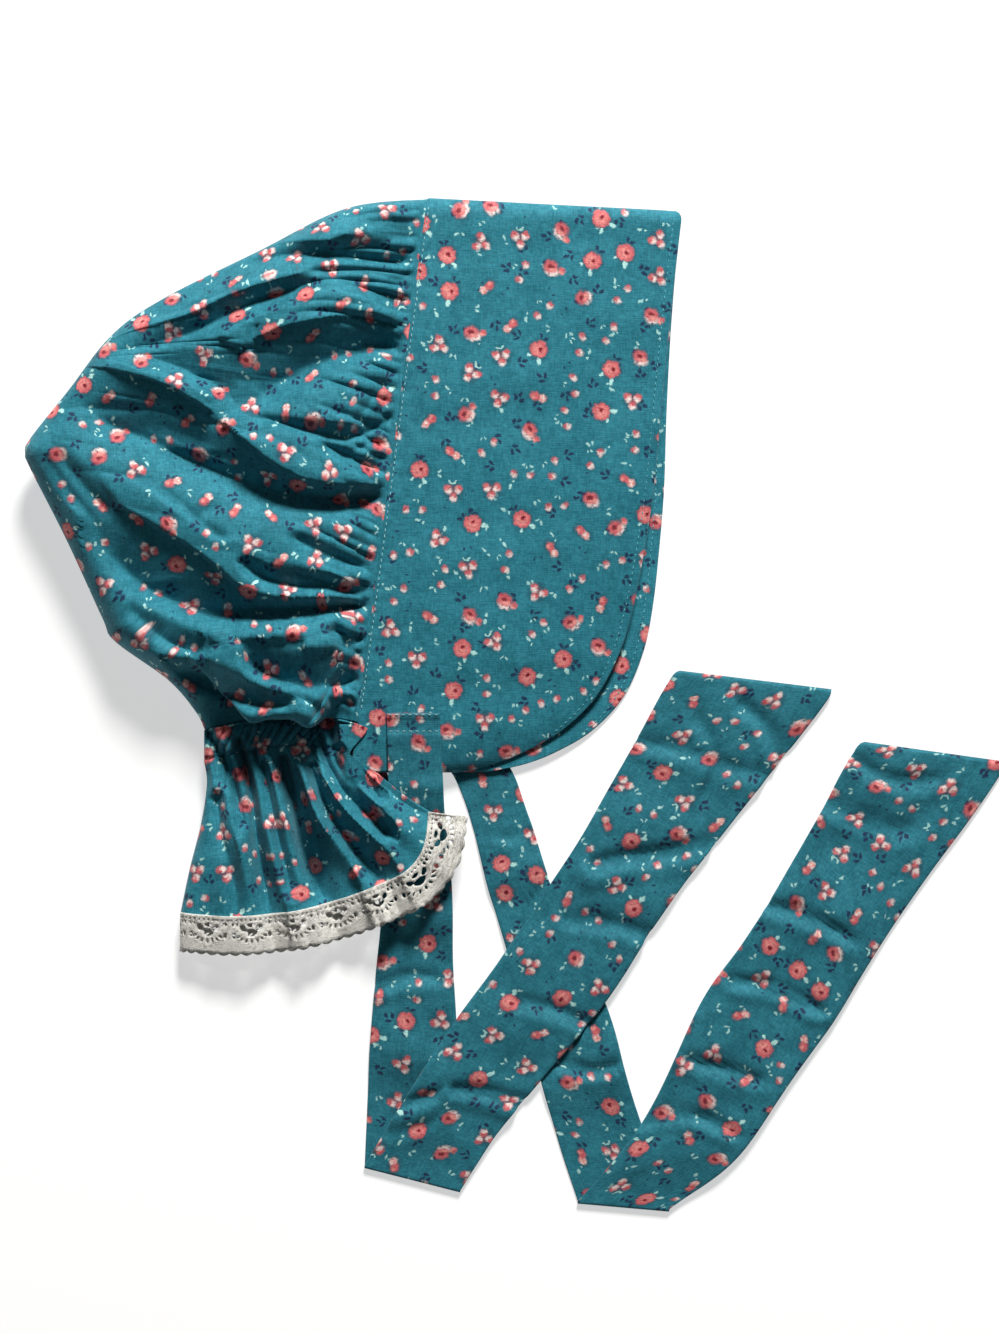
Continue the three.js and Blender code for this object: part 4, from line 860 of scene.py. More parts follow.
def insideRing(points, ring):
    x, y = points[:, 0], points[:, 1]
    result = np.zeros(len(points), bool)
    for (x0, y0), (x1, y1) in zip(ring, np.roll(ring, -1, axis=0)):
        crossing = (y0 > y) != (y1 > y)
        at = x0 + (y - y0) * (x1 - x0) / np.where(abs(y1 - y0) < 1e-9, 1e-9, y1 - y0)
        result ^= crossing & (x < at)
    return result


def sideAlong(x):  # 0 at the far front corner of the hem, its whole length at the near one
    far = hems[False].length
    return np.where(x < far, -(1 - x / far), (x - far) / hems[True].length)


tieSet = {"long": 590, "wide": 56, "wall": 1.2, "crease": 0.95, "gap": 0.3, "sewnGap": 0.8, "offPanel": 12,
          "columns": 44, "steps": 22, "bendSteps": 12, "deepest": 4.8, "sewnDeepest": 0.75,
          "tip": 2.2, "tipLong": 3.5}
# Swells of a tie: their mean height, then the height and length of long and short waves
tieSwell = {"mean": 3.2, "long": (1.6, 62), "short": (0.5, 26)}
# Rows of a tie: middle point in shares of its length, turn in degrees, share of its width, and lift in layers
nearTieRows = [
    (0.053, 0.009, 0, 0.53, 0), (0.054, -0.022, 0, 0.53, 0), (0.055, -0.046, 0, 0.54, 10.6),
    (0.056, -0.072, 0, 0.57, 9.4), (0.057, -0.102, 0, 0.62, 6), (0.057, -0.14, 0, 0.66, 3.5),
    (0.056, -0.18, 0, 0.69, 1.7), (0.054, -0.23, 0, 0.74, 0), (0.053, -0.3, -2, 0.82, 0),
    (0.051, -0.37, -8, 0.92, 0), (0.052, -0.432, -14.3, 1.01, 0), (0.088, -0.374, -22, 1, 0.2),
    (0.132, -0.313, -27, 1.01, 0.5), (0.186, -0.243, -30, 1.09, 0.8), (0.238, -0.164, -31, 1.12, 0.9),
    (0.305, -0.065, -24, 1.24, 0.3), (0.377, 0.04, -7, 1.55, 0)]
farTieRows = [
    (0.086, 0.009, 0, 0.53, 0), (0.095, -0.022, 5, 0.53, 0), (0.119, -0.05, 12, 0.56, 0),
    (0.137, -0.1, 15, 0.6, 0), (0.156, -0.165, 13, 0.63, 0), (0.194, -0.266, 8, 0.78, 0),
    (0.218, -0.352, 3, 0.84, 0), (0.252, -0.458, -5, 0.96, 0), (0.315, -0.395, -21, 1.0, 0.2),
    (0.372, -0.297, -33, 1.14, 0.2), (0.412, -0.24, -34, 1.18, 0.2), (0.469, -0.148, -33, 1.22, 0.1),
    (0.547, -0.028, -8, 1.44, 0)]


def tieGrid(table, creaseRow, onPanel):
    long, wide, wall = tieSet["long"], tieSet["wide"], tieSet["wall"]
    rows = []
    layer = wall + tieSet["gap"]

    def leg(first, last, base):
        part = np.array(table[first:last + 1], float)
        count = (len(part) - 1) * tieSet["steps"] + 1
        line = catmull(part, count)
        for k, (x, y, turn, share, lift) in enumerate(line):
            rows.append((x * long, y * long, turn, share * wide,
                         wall / 2 + mix(base, 0, k / (count - 1)) + max(0, lift) * layer))

    leg(0, creaseRow, 0)
    x, y, turn, share, _ = table[creaseRow]
    angle = math.radians(turn)
    for k in range(1, tieSet["bendSteps"]):
        bend = math.pi * k / tieSet["bendSteps"]
        out = tieSet["crease"] * math.sin(bend)
        rows.append((x * long + out * math.sin(angle), y * long - out * math.cos(angle), turn, share * wide,
                     wall / 2 + tieSet["crease"] * (1 - math.cos(bend))))
    panelRows = creaseRow * tieSet["steps"] + 1
    leg(creaseRow, len(table) - 1, 2 * tieSet["crease"])
    rows = np.array(rows)
    across = edgeLines(tieSet["columns"], 50, wall) - 0.5
    turn = np.radians(rows[:, 2:3])
    out = across[None, :] * rows[:, 3:4]
    points = np.stack([rows[:, 0:1] + out * np.cos(turn), rows[:, 1:2] + out * np.sin(turn),
                       np.repeat(rows[:, 4:5], len(across), axis=1)], axis=-1)
    if onPanel:
        edge = seam["high"] - brimSet["drop"]
        part = points[:panelRows]
        y = np.maximum(edge, part[..., 1])
        drop = seam["high"] - y
        c = np.clip((part[..., 0] - seamX(drop)) / brimSet["depth"], 0, 1)
        held = brimHeight(c, drop) + brimSet["wall"] / 2 + tieSet["sewnGap"] + wall / 2
        part[..., 2] = mix(part[..., 2], held, ease(part[..., 1], edge - tieSet["offPanel"], edge - wall))
    way = np.concatenate([[0], np.cumsum(np.linalg.norm(np.diff(rows[:, :3] * (1, 1, 0), axis=0), axis=1))])
    uv = np.stack([out, np.repeat(way[:, None], len(across), axis=1)], axis=-1)
    return points, uv


# Creases and dents of the ties, as the crown's are given. The near tie's first one is the fold over its sewn root.
nearTieCreases = [
    (1.2, [(350, 722, 9, 2.5), (380, 722, 9, 2.5), (420, 722, 9, 2.5), (446, 722, 9, 2.5), (500, 722, 9, 2.5)]),
    (4.9, [(596, 862, 10, 5), (622, 856, 10, 5), (652, 852, 11, 4), (690, 846, 10, 5), (722, 838, 7, 6)]),
    (3.4, [(640, 742, 6, 6), (690, 752, 7, 6), (740, 770, 7, 6), (790, 776, 6, 6)]),
    (4.1, [(742, 706, 6, 6), (768, 730, 7, 7), (782, 766, 7, 7), (776, 800, 6, 6)]),
    (3.0, [(570, 920, 7, 6), (610, 922, 9, 6), (650, 936, 7, 6), (672, 952, 6, 6)]),
    (3.0, [(520, 1000, 7, 5), (560, 1010, 8, 5), (600, 1030, 7, 5)]),
    (3.8, [(455, 1088, 6, 5), (490, 1092, 8, 5), (530, 1104, 8, 5), (556, 1118, 6, 5)]),
    (3.8, [(368, 1098, 6, 4), (392, 1104, 7, 4), (420, 1098, 7, 4), (446, 1086, 6, 4)]),
    (3.4, [(370, 1130, 6, 4), (400, 1132, 6, 4), (436, 1120, 6, 4)]),
    (3.0, [(382, 985, 7, 6), (410, 975, 8, 6), (446, 980, 7, 6)]),
    (2.6, [(700, 720, 6, 5), (715, 760, 6, 6), (700, 810, 6, 6)])]
farTieCreases = [
    (4.5, [(820, 800, 7, 5), (850, 812, 9, 5), (884, 826, 9, 5), (920, 836, 6, 5)]),
    (3.4, [(846, 752, 6, 6), (880, 776, 7, 6), (920, 782, 7, 6), (958, 772, 6, 6)]),
    (4.1, [(770, 905, 7, 4), (800, 912, 9, 4), (838, 930, 8, 4), (862, 948, 6, 4)]),
    (3.8, [(735, 980, 7, 4), (770, 985, 8, 4), (810, 1004, 7, 4), (826, 1014, 6, 4)]),
    (3.8, [(690, 1060, 6, 4), (728, 1068, 8, 4), (770, 1084, 7, 4)]),
    (4.1, [(640, 1120, 6, 4), (676, 1112, 7, 4), (712, 1120, 7, 4), (744, 1140, 6, 4)]),
    (3.4, [(566, 1130, 6, 5), (594, 1142, 7, 5), (626, 1138, 6, 5)]),
    (3.4, [(556, 1060, 6, 5), (590, 1070, 7, 5), (622, 1062, 6, 5)]),
    (3.0, [(480, 830, 6, 5), (508, 836, 6, 5), (536, 828, 6, 5)])]


def ruffledTie(points, way, creaseWay, table, salt, onPanel):
    # Soft swells with creases between them. The leg under the turn stays low, and so does the sewn root.
    x, y = points[..., 0], points[..., 1]
    (high, long), (low, short) = tieSwell["long"], tieSwell["short"]
    swell = tieSwell["mean"] + high * softNoise(x, y, long, salt) + low * softNoise(x, y, short, salt + 1)
    dents = creases(table, points, lip=0.25)
    across = np.linspace(-1, 1, points.shape[1])[None, :]
    edge = 1 - 0.6 * np.abs(across) ** 3
    free = ease(np.abs(way - creaseWay), 8, 46)
    first = way < creaseWay
    free = np.where(first, free * ease(way, 60, 110) * (1 - ease(way, creaseWay - 75, creaseWay - 40)), free)
    lift = np.maximum(0, swell * edge - np.minimum(dents, tieSet["deepest"])) * free
    if onPanel:
        lift = lift - np.minimum(dents, tieSet["sewnDeepest"]) * (1 - ease(way, 20, 40))
    return points + lift[..., None] * (0, 0, 1)


def keptUnder(points, over, wall, clear=0.5, cell=2.5):
    # Lowers a sheet's points to below another sheet that lies over it.
    cells = {}
    for x, y, z in over.reshape(-1, 3):
        for i in (-1, 0, 1):
            for j in (-1, 0, 1):
                key = (round(x / cell) + i, round(y / cell) + j)
                cells[key] = min(cells.get(key, 1e9), z)
    flat = points.reshape(-1, 3).copy()
    for k, (x, y, z) in enumerate(flat):
        top = cells.get((round(x / cell), round(y / cell)), 1e9) - wall - clear
        flat[k, 2] = min(z, max(top, wall / 2 + 0.1))
    return flat.reshape(points.shape)


def tieShape(table, creaseRow, onPanel, creaseTable, salt):
    points, uv = tieGrid(table, creaseRow, onPanel)
    way = uv[:, :1, 1]
    creaseWay = uv[creaseRow * tieSet["steps"] + 6, 0, 1]
    across = np.linspace(-1, 1, points.shape[1])[None, :]
    wander = 0.9 * np.sin(way / 33 + salt) + 0.35 * np.sin(way / 13)
    side = np.gradient(points, axis=1)
    side = side / np.maximum(np.linalg.norm(side, axis=2, keepdims=True), 1e-9)
    far = ease(way, way.max() - tieSet["tipLong"], way.max())
    push = wander * ease(way, 30, 60) - tieSet["tip"] * (far * np.abs(across) ** 8)
    points = points + side * (across * push)[..., None]
    return ruffledTie(points, way, creaseWay, creaseTable, salt, onPanel), uv


stitchSet = {"pitch": 3.4, "long": 2.3, "thick": 0.27, "sides": 5, "rings": 5, "high": 0.75, "bow": 6.2, "taper": 1.6}


def makeStitches(name, lines):
    # Short raised threads along lines of surface points. Each line is (points, normals).
    points, faces = [], []
    n, rings = stitchSet["sides"], stitchSet["rings"]
    share = np.linspace(-0.5, 0.5, rings)
    angle = np.linspace(0, 2 * math.pi, n, endpoint=False)
    for line, normals in lines:
        way = np.concatenate([[0], np.cumsum(np.linalg.norm(np.diff(line, axis=0), axis=1))])
        count = int(way[-1] / stitchSet["pitch"])
        for k in range(count):
            at = (k + 0.5) * way[-1] / count + share * stitchSet["long"]
            middle = np.stack([np.interp(at, way, c) for c in line.T], axis=1)
            up = np.stack([np.interp(at, way, c) for c in normals.T], axis=1)
            up /= np.linalg.norm(up, axis=1, keepdims=True)
            middle = middle + up * (stitchSet["thick"] * (stitchSet["high"] - stitchSet["bow"] * share ** 2))[:, None]
            forward = np.gradient(middle, axis=0)
            forward /= np.linalg.norm(forward, axis=1, keepdims=True)
            across = np.cross(forward, up)
            size = stitchSet["thick"] * (1 - stitchSet["taper"] * share ** 2)
            around = across[:, None] * np.cos(angle)[None, :, None] + up[:, None] * np.sin(angle)[None, :, None]
            ring = middle[:, None] + around * size[:, None, None]
            first = len(points) * rings * n
            points.append(ring.reshape(-1, 3))
            for i in range(rings - 1):
                for j in range(n):
                    a, b = first + i * n + j, first + i * n + (j + 1) % n
                    faces.append((a, b, b + n, a + n))
            faces.append(tuple(first + j for j in range(n))[::-1])
            faces.append(tuple(first + (rings - 1) * n + j for j in range(n)))
    piece = newObject(name, toModel(np.concatenate(points)), faces)
    shape = bmesh.new()
    shape.from_mesh(piece.data)
    bmesh.ops.recalc_face_normals(shape, faces=shape.faces)
    shape.to_mesh(piece.data)
    shape.free()
    smooth(piece)
    return piece


def surfaceLine(points, wall):  # a row of a sheet's middle points, raised to its upper face
    middle = points[points.shape[0] // 2]
    normal = gridNormals(points)[points.shape[0] // 2]
    normal = normal * np.sign(normal[:, 2:3])
    return middle + normal * wall / 2, normal


def brimLine(near, c, low, high):
    drop = np.linspace(low, high, 240)
    bands = np.stack([brimSurface(near, drop, np.full_like(drop, c + d)) for d in (-0.004, 0, 0.004)])
    return surfaceLine(bands, brimSet["wall"])


class Value:
    # One socket of a material under way. Sums, products and comparisons of values add Math nodes.
    def __init__(self, material, socket):
        self.material, self.socket = material, socket

    def maths(self, operation, *others):
        return self.material.node("ShaderNodeMath", {"operation": operation}, dict(enumerate((self,) + others)))

    def __add__(self, other): return self.maths("ADD", other)
    def __sub__(self, other): return self.maths("SUBTRACT", other)
    def __mul__(self, other): return self.maths("MULTIPLY", other)
    def __lt__(self, other): return self.maths("LESS_THAN", other)
    def __gt__(self, other): return self.maths("GREATER_THAN", other)
    def max(self, other): return self.maths("MAXIMUM", other)


class Cloth:
    # A material whose nodes are added one by one.
    def __init__(self, name):
        self.made = bpy.data.materials.new(name)
        self.made.use_nodes = True
        self.tree = self.made.node_tree
        self.shader = self.tree.nodes["Principled BSDF"]

    def node(self, kind, settings, inputs, output=0):
        node = self.tree.nodes.new(kind)
        for key, value in settings.items():
            setattr(node, key, value)
        for key, value in inputs.items():
            if isinstance(value, Value):
                self.tree.links.new(value.socket, node.inputs[key])
            else:
                node.inputs[key].default_value = value
        return Value(self, node.outputs[output])

    def vector(self, operation, *parts, output=0):
        return self.node("ShaderNodeVectorMath", {"operation": operation}, dict(enumerate(parts)), output)

    def blend(self, a, b, factor):
        settings = {"data_type": "RGBA", "clamp_factor": True}
        return self.node("ShaderNodeMix", settings, {0: factor, 6: a, 7: b}, 2)

    def soft(self, value, low, high):  # 0 at low and 1 at high, smoothly
        settings = {"interpolation_type": "SMOOTHSTEP"}
        return self.node("ShaderNodeMapRange", settings, {0: value, 1: low, 2: high, 3: 0.0, 4: 1.0})

    def set(self, **values):
        for key, value in values.items():
            socket = self.shader.inputs[key.replace("_", " ")]
            if isinstance(value, Value):
                self.tree.links.new(value.socket, socket)
            else:
                socket.default_value = value


def paint(*levels):  # a colour as seen on a screen, made linear
    return tuple(((c / 255 + 0.055) / 1.055) ** 2.4 for c in levels) + (1,)


printSet = {"pitch": 21, "turn": 0.31, "leafPitch": 14.5, "leafTurn": -0.52,
            "ground": (48, 138, 156), "groundDeep": (12, 102, 118), "halo": (30, 84, 100),
            "coral": (212, 104, 108), "salmon": (236, 152, 144), "deep": (188, 70, 80), "heart": (116, 20, 36),
            "white": (246, 226, 220), "brown": (112, 72, 86), "mint": (180, 230, 224), "navy": (14, 42, 78)}


class Print(Cloth):
    # Flowers scattered one to a cell, each with its own offset and turn.
    def __init__(self, name):
        super().__init__(name)
        self.uv = self.node("ShaderNodeUVMap", {"uv_map": "cloth"}, {})
        self.colour = None
        blot = self.noise(self.uv, 0.5, 2.0, 0.5, 1)
        self.smear = self.vector("MULTIPLY", self.vector("SUBTRACT", blot, (0.5, 0.5, 0.5)), (2.6, 2.6, 0))

    def cells(self, pitch, turn, salt, stray, swing=2.2):
        place = self.node("ShaderNodeMapping", {}, {0: self.uv, 1: (salt, salt * 0.7, 0), 2: (0, 0, turn),
                                                    3: (1 / pitch, 1 / pitch, 1)})
        x, y = self.split(place)[:2]
        x = x + (y.maths("FLOOR") * 0.5).maths("FRACT")
        place = self.node("ShaderNodeCombineXYZ", {}, {0: x, 1: y, 2: 0.0})
        cell = self.vector("FLOOR", place)
        local = self.vector("SUBTRACT", self.vector("SUBTRACT", place, cell), (0.5, 0.5, 0))
        chance, other = (self.node("ShaderNodeTexWhiteNoise", {"noise_dimensions": "3D"},
                                   {0: self.vector("ADD", cell, shift)}, 1)
                         for shift in ((salt, 3.1, 0.5), (9.7, salt, 2.5)))
        away = self.vector("MULTIPLY", self.vector("SUBTRACT", chance, (0.5, 0.5, 0.5)), (2 * stray,) * 3)
        local = self.vector("MULTIPLY", self.vector("SUBTRACT", local, away), (pitch, pitch, 0))
        local = self.vector("ADD", local, self.smear)
        kinds = self.split(other)
        turned = self.node("ShaderNodeVectorRotate", {"rotation_type": "Z_AXIS"},
                           {0: local, 3: (kinds[1] - 0.5) * swing + math.pi})
        return turned, kinds[0], kinds[2]

    def split(self, value):
        node = self.tree.nodes.new("ShaderNodeSeparateXYZ")
        self.tree.links.new(value.socket, node.inputs[0])
        return [Value(self, output) for output in node.outputs]

    def folded(self, local):  # the same on both sides of the middle
        x, y, _ = self.split(local)
        return self.node("ShaderNodeCombineXYZ", {}, {0: x.maths("ABSOLUTE"), 1: y, 2: 0.0})

    def inOval(self, local, x, y, half, high, turn=0.0, edge=0.34):
        # How far inside an oval a point is (0 to 1), and its place along the oval from -1 to 1.
        spot = self.node("ShaderNodeMapping", {"vector_type": "TEXTURE"},
                         {0: local, 1: (x, y, 0), 2: (0, 0, turn), 3: (half, high, 1)})
        size = self.vector("LENGTH", spot, output=1)
        return self.soft(size, 1 + edge, 1 - edge), self.split(spot)[1]

    def oval(self, *shape):
        return self.inOval(*shape)[0]

    def noise(self, place, scale, detail, rough, output=0):
        return self.node("ShaderNodeTexNoise", {}, {0: place, 2: scale, 3: detail, 4: rough}, output)

    def lay(self, colour, mask):
        tint = colour if isinstance(colour, Value) else paint(*colour)
        self.colour = self.blend(self.colour, tint, mask)


def between(value, low, high):
    return (value > low) * (value < high)


def printedCotton(name, lightness=1.0):
    # The print's parts are ovals in millimetres round the middle of a leaf's or a flower's cell.
    c, p = printSet, Print(name)
    speckle = p.noise(p.uv, 0.55, 3.0, 0.6)
    wide = p.noise(p.uv, 0.035, 3.0, 0.5)
    weft = p.noise(p.vector("MULTIPLY", p.uv, (0.16, 1.7, 1)), 1.0, 2.0, 0.5)
    warp = p.noise(p.vector("MULTIPLY", p.uv, (1.7, 0.14, 1)), 1.0, 2.0, 0.5)
    slub = (weft + warp) * 0.5
    worn = p.noise(p.uv, 0.16, 4.0, 0.65)
    p.colour = p.blend(paint(*c["ground"]), paint(*c["groundDeep"]),
                       p.soft(slub * 0.6 + wide * 0.15 + worn * 0.25, 0.4, 0.6))

    # leaves and commas on their own cells, under the flowers
    leaf, kind, _ = p.cells(c["leafPitch"], c["leafTurn"], 4.3, 0.24, 5.0)
    pair = p.folded(leaf)
    side = p.oval(pair, 1.85, -0.5, 0.95, 1.75, -0.75)
    tip = p.oval(leaf, 0.2, 2.1, 0.9, 1.7, 0.15)
    p.lay(c["navy"], (side.max(tip)) * (kind < 0.42) * 0.95)
    commaPair = p.oval(pair, 1.3, 0.5, 0.62, 1.25, 0.55)
    p.lay(c["mint"], commaPair * between(kind, 0.42, 0.64) * 0.8)
    comma = p.oval(leaf, 0.9, -1.2, 0.75, 1.6, 0.7)
    dot = p.oval(leaf, -1.9, 0.9, 0.7, 0.6, 0.2)
    p.lay(c["mint"], comma.max(dot) * between(kind, 0.64, 0.84) * 0.85)
    fleck = p.oval(pair, 2.1, 0.8, 0.5, 0.8, -0.5)
    p.lay(c["navy"], fleck * between(kind, 0.84, 1.0) * 0.85)

    flower, kind, tone = p.cells(c["pitch"], c["turn"], 1.7, 0.17)
    shift = p.node("ShaderNodeCombineXYZ", {}, {0: tone * 40, 1: 0.0, 2: 0.0})
    petalNoise = p.noise(p.vector("ADD", flower, shift), 0.5, 2.0, 0.6)
    size = p.vector("LENGTH", flower, output=1) + (petalNoise - 0.5) * 2.4
    rosy = p.blend(paint(*c["coral"]), paint(*c["deep"]), p.soft(petalNoise, 0.5, 0.72))

    # full rose
    isRose = kind < 0.17
    p.lay(c["halo"], p.soft(size, 7.6, 4.6) * isRose * 0.8)
    mintLeaf = p.oval(flower, -3.4, -6.0, 1.15, 2.0, -0.6)
    speck = p.oval(flower, 3.1, -5.6, 0.85, 1.2, 0.8)
    p.lay(c["mint"], mintLeaf.max(speck) * isRose)
    navyLeaf = p.oval(p.folded(p.vector("SUBTRACT", flower, (1.2, 6.9, 0))), 1.5, 0.3, 0.9, 1.6, -0.8)
    p.lay(c["navy"], navyLeaf * isRose * 0.9)
    p.lay(rosy, p.soft(size, 5.5, 4.1) * isRose)
    ring = p.oval(flower, 0.25, -0.3, 3.3, 3.1, 0, 0.34)
    p.lay(c["salmon"], ring * isRose * 0.9)
    whorl = p.soft((size - 2.5).maths("ABSOLUTE"), 0.8, 0.1)
    p.lay(c["coral"], whorl * isRose * p.soft(petalNoise, 0.38, 0.6))
    heart = p.oval(flower, -0.7, 0.4, 1.5, 1.25, 0.4, 0.5)
    p.lay(c["deep"], heart * isRose)
    spot = p.oval(flower, -0.8, 0.5, 0.95, 0.8, 0.4, 0.5)
    p.lay(c["heart"], spot * isRose)

    # rose seen from the side, with a bud
    isSide = between(kind, 0.17, 0.36)
    p.lay(c["halo"], p.soft(size, 6.8, 3.8) * isSide * 0.75)
    calyx = p.oval(flower, 3.0, 3.1, 1.6, 1.3, 0.7)
    p.lay(c["navy"], calyx * isSide)
    skirt = p.oval(flower, -0.4, -2.1, 3.5, 2.3, 0.1, 0.4)
    p.lay(c["white"], skirt * isSide * p.soft(petalNoise, 0.3, 0.52))
    cup = p.oval(flower, 0.2, 0.7, 3.8, 3.4, 0.2)
    p.lay(rosy, cup * isSide)
    lip = p.oval(flower, -0.9, -0.9, 2.3, 1.2, 0.2, 0.5)
    p.lay(c["salmon"], lip * isSide * 0.9)
    throat = p.oval(flower, 0.4, 1.0, 1.7, 1.2, 0.3, 0.5)
    p.lay(c["heart"], throat * isSide * 0.9)
    sideBud, height = p.inOval(flower, -5.6, -1.6, 1.7, 2.0, 0.6, 0.4)
    tint = p.blend(paint(*c["salmon"]), rosy, p.soft(height, -0.6, 0.3))
    p.lay(tint, sideBud * isSide * (tone > 0.4))

    # three buds on one stalk
    isTrio = between(kind, 0.36, 0.6)
    twin = p.folded(flower)
    p.lay(c["halo"], p.soft(size, 7.2, 3.6) * isTrio * 0.75)
    stalk = p.oval(flower, 0, 0.2, 2.4, 2.8, 0, 0.4)
    p.lay(c["brown"], stalk * isTrio * 0.9)
    for x, y, half, high, turn in ((2.9, 1.5, 2.0, 2.5, -0.5), (0.2, -2.9, 2.0, 2.4, 0)):
        bud, height = p.inOval(twin if x > 1 else flower, x, y, half, high, turn, 0.4)
        tint = p.blend(paint(*c["white"]), rosy, p.soft(height + (petalNoise - 0.5) * 2.2, -0.6, 0.4))
        p.lay(tint, bud * isTrio)
    fromLoop = p.vector("LENGTH", p.vector("SUBTRACT", flower, (0, 6.6, 0)), output=1)
    crescent = p.soft((fromLoop - 1.9).maths("ABSOLUTE"), 0.8, 0.2) * (p.split(flower)[1] < 6.4)
    p.lay(c["mint"], crescent * isTrio * (tone > 0.6) * 0.8)

    # two buds end to end
    isDouble = between(kind, 0.6, 0.75)
    p.lay(c["halo"], p.oval(flower, 0, 0, 3.4, 6.0, 0, 0.35) * isDouble * 0.7)
    lowBud = p.oval(flower, 0.3, -2.5, 2.0, 2.2, 0, 0.4)
    highBud = p.oval(flower, -0.2, 1.5, 2.1, 2.7, 0.1, 0.4)
    p.lay(p.blend(paint(*c["white"]), paint(*c["salmon"]), p.soft(petalNoise, 0.38, 0.6)), lowBud * isDouble)
    p.lay(rosy, highBud * isDouble)
    blush = p.oval(flower, 0.7, 2.4, 1.0, 1.1, 0, 0.5)
    p.lay(c["salmon"], blush * isDouble * 0.8)

    # single small buds, two to a cell
    isSingle = kind > 0.75
    for x, y, turn in ((-4.2, 1.4, 0.5), (4.0, -2.6, -0.4)):
        bud, height = p.inOval(flower, x, y, 1.75, 2.15, turn, 0.45)
        tint = p.blend(paint(*c["white"]), rosy, p.soft(height + (petalNoise - 0.5) * 2, -0.6, 0.5))
        p.lay(c["halo"], p.oval(flower, x, y, 2.6, 3.0, turn, 0.4) * isSingle * 0.5)
        p.lay(tint, bud * isSingle * 0.92)
    freckle = p.oval(p.folded(p.vector("SUBTRACT", flower, (1.0, 4.6, 0))), 1.1, 0, 0.5, 0.95, 0.5)
    p.lay(c["mint"], freckle * isSingle * 0.8)

    # A lightness under 1 darkens every colour of the cloth: painted shade.
    shades = ((0.72, 0.74, 0.76), (1.14, 1.13, 1.12))
    dim, bright = (tuple(level * lightness for level in shade) + (1,) for shade in shades)
    ink = p.node("ShaderNodeMix", {"data_type": "RGBA", "blend_type": "MULTIPLY"},
                 {0: 1.0, 6: p.colour, 7: p.blend(dim, bright, p.soft(speckle * 0.5 + slub * 0.5, 0.36, 0.62))}, 2)
    threads = p.soft(slub, 0.35, 0.65) * 0.75 + speckle * 0.25
    bump = p.node("ShaderNodeBump", {}, {"Strength": 0.35, "Distance": 0.00025, "Height": threads})
    p.set(Base_Color=ink, Roughness=p.soft(slub, 0.2, 0.8) * 0.12 + 0.72, Normal=bump)
    p.set(Sheen_Weight=0.12, Sheen_Roughness=0.45, Specular_IOR_Level=0.32)
    return p.made


def creamLace(name):
    p = Cloth(name)
    uv = p.node("ShaderNodeUVMap", {"uv_map": "cloth"}, {})
    threads = None
    for turn, salt in ((0.05, 3), (0.8, 11), (-0.75, 23), (1.6, 37)):
        place = p.node("ShaderNodeMapping", {}, {0: uv, 1: (salt, salt, 0), 2: (0, 0, turn), 3: (0.28, 1.9, 1)})
        strand = p.node("ShaderNodeTexNoise", {}, {0: place, 2: 1.0, 3: 2.0, 4: 0.55, 8: 0.6})
        strand = p.soft((strand - 0.5).maths("ABSOLUTE"), 0.085, 0.0)
        threads = strand if threads is None else threads.max(strand)
    patch = p.node("ShaderNodeTexNoise", {}, {0: uv, 2: 0.3, 3: 3.0, 4: 0.6})
    colour = p.blend(paint(196, 187, 168), paint(255, 253, 245), p.soft(threads * 0.62 + patch * 0.5, 0.3, 0.75))
    bump = p.node("ShaderNodeBump", {}, {"Strength": 0.8, "Distance": 0.0006, "Height": threads})
    open_ = p.soft(threads + p.soft(patch, 0.4, 0.56), 0.0, 0.25)
    p.set(Base_Color=colour, Roughness=0.88, Normal=bump, Alpha=open_)
    p.set(Specular_IOR_Level=0.2)
    return p.made


def sewingThread(name, dark, light):
    p = Cloth(name)
    place = p.node("ShaderNodeTexCoord", {}, {}, 3)
    ply = p.node("ShaderNodeTexNoise", {}, {0: place, 2: 900.0, 3: 2.0, 4: 0.5})
    p.set(Base_Color=p.blend(paint(*dark), paint(*light), ply), Roughness=0.7)
    return p.made


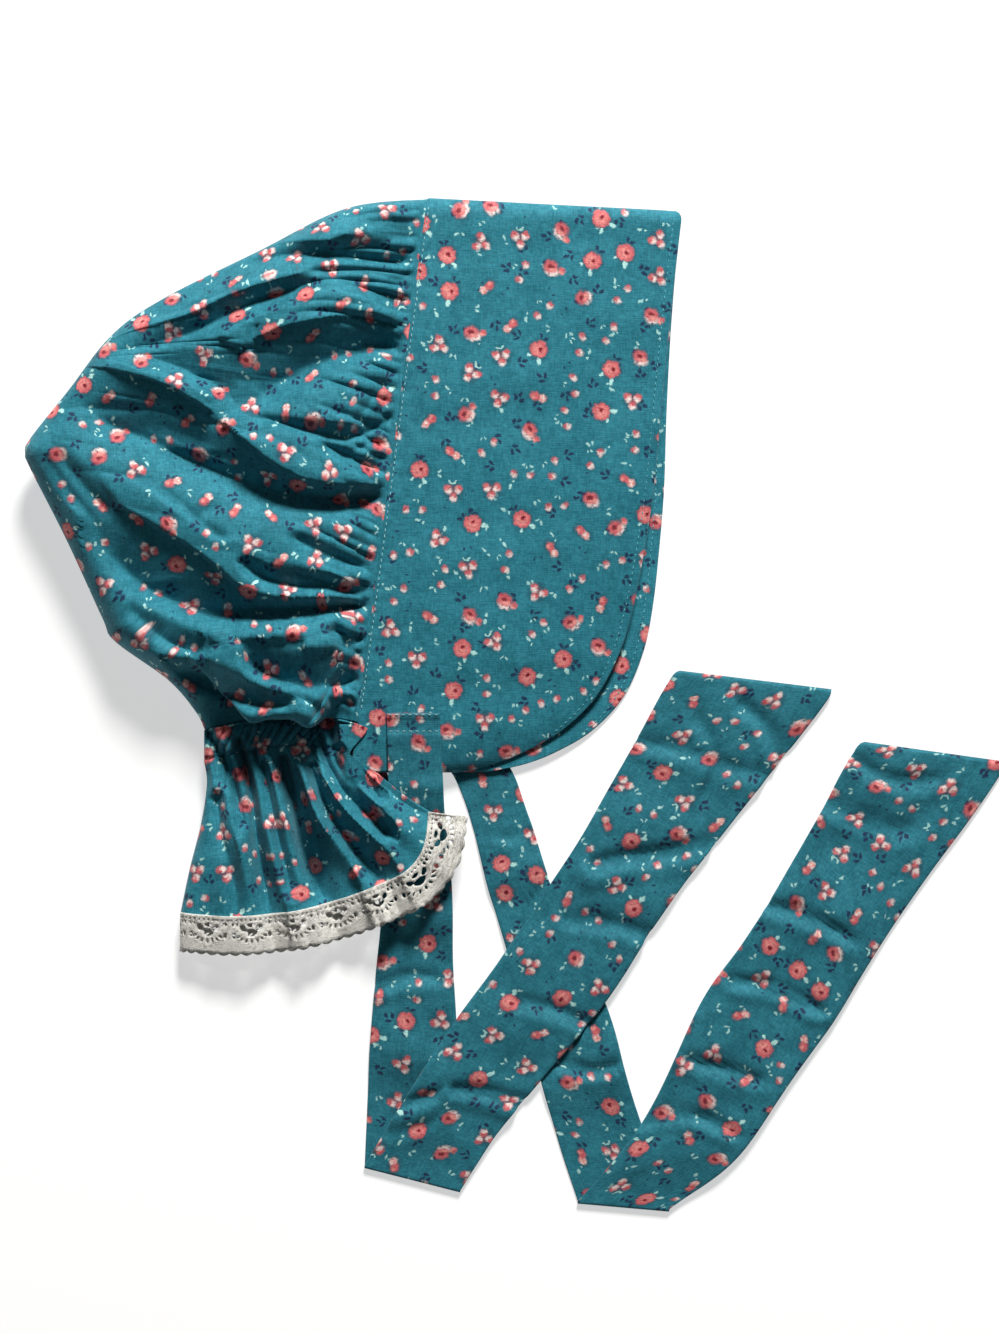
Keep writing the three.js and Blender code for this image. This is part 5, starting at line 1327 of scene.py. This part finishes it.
cotton = printedCotton("printedCotton")
# The ties take the same print darkened all over (lightness 0.84), which is painted shade.
shadedTieCotton = printedCotton("shadedTieCotton", 0.84)
laceCotton = creamLace("laceCotton")
paleThread = sewingThread("paleThread", (96, 156, 166), (172, 214, 214))
tealThread = sewingThread("tealThread", (58, 138, 152), (110, 186, 194))


def dress(piece, material, nodes):
    piece.data.materials.clear()
    piece.data.materials.append(material)
    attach(piece, "root")
    if nodes:
        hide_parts(*nodes)
    return piece


brim = dress(makeBrim(), cotton, ["brim"])
print("brim made")
crown = dress(makeCrown(), cotton, ["crown"])
print("crown made")
curtain = dress(makeCurtain(), cotton, ["neck_casing", "neck_ruffle"])
print("casing and ruffle made")
lace = dress(makeLace(), laceCotton, ["lace_trim"])
print("lace made")
nearShape, nearUv = tieShape(nearTieRows, 10, True, nearTieCreases, 3)
farShape, farUv = tieShape(farTieRows, 7, False, farTieCreases, 8)
farShape = keptUnder(farShape, nearShape, tieSet["wall"])
nearTie = paddedGrid("nearTie", nearShape, nearUv + (410, 33), tieSet["wall"])
farTie = paddedGrid("farTie", farShape, farUv + (533, 81), tieSet["wall"])
dress(nearTie, shadedTieCotton, ["tie_near"])
dress(farTie, shadedTieCotton, ["tie_far"])
print("ties made")

# Stitches run along the seam, across the near tie's sewn root, and along the front edges of both layers.
tieTop = [surfaceLine(nearShape[k:k + 3], tieSet["wall"]) for k in (1, 12)]
rootRows = [(points[3:-3], normals[3:-3]) for points, normals in tieTop]
seamRows = [brimLine(True, 0.012, 5, 284)] + rootRows
edgeRows = [brimLine(near, 0.968, 6, 296) for near in (True, False)]
for name, rows, thread in (("seamStitches", seamRows, paleThread), ("edgeStitches", edgeRows, tealThread)):
    dress(makeStitches(name, rows), thread, [])
print("stitches made")


def makeFloor():
    bpy.ops.object.select_all(action="DESELECT")
    bpy.ops.mesh.primitive_plane_add(size=6, location=(0, 0, -0.0002))
    floor = bpy.context.object
    floor.name = "floor"
    paper = Cloth("paleFloor")
    paper.set(Base_Color=(0.55, 0.55, 0.55, 1), Roughness=0.9, Emission_Color=(1, 1, 1, 1), Emission_Strength=0.55)
    floor.data.materials.append(paper.made)


makeFloor()
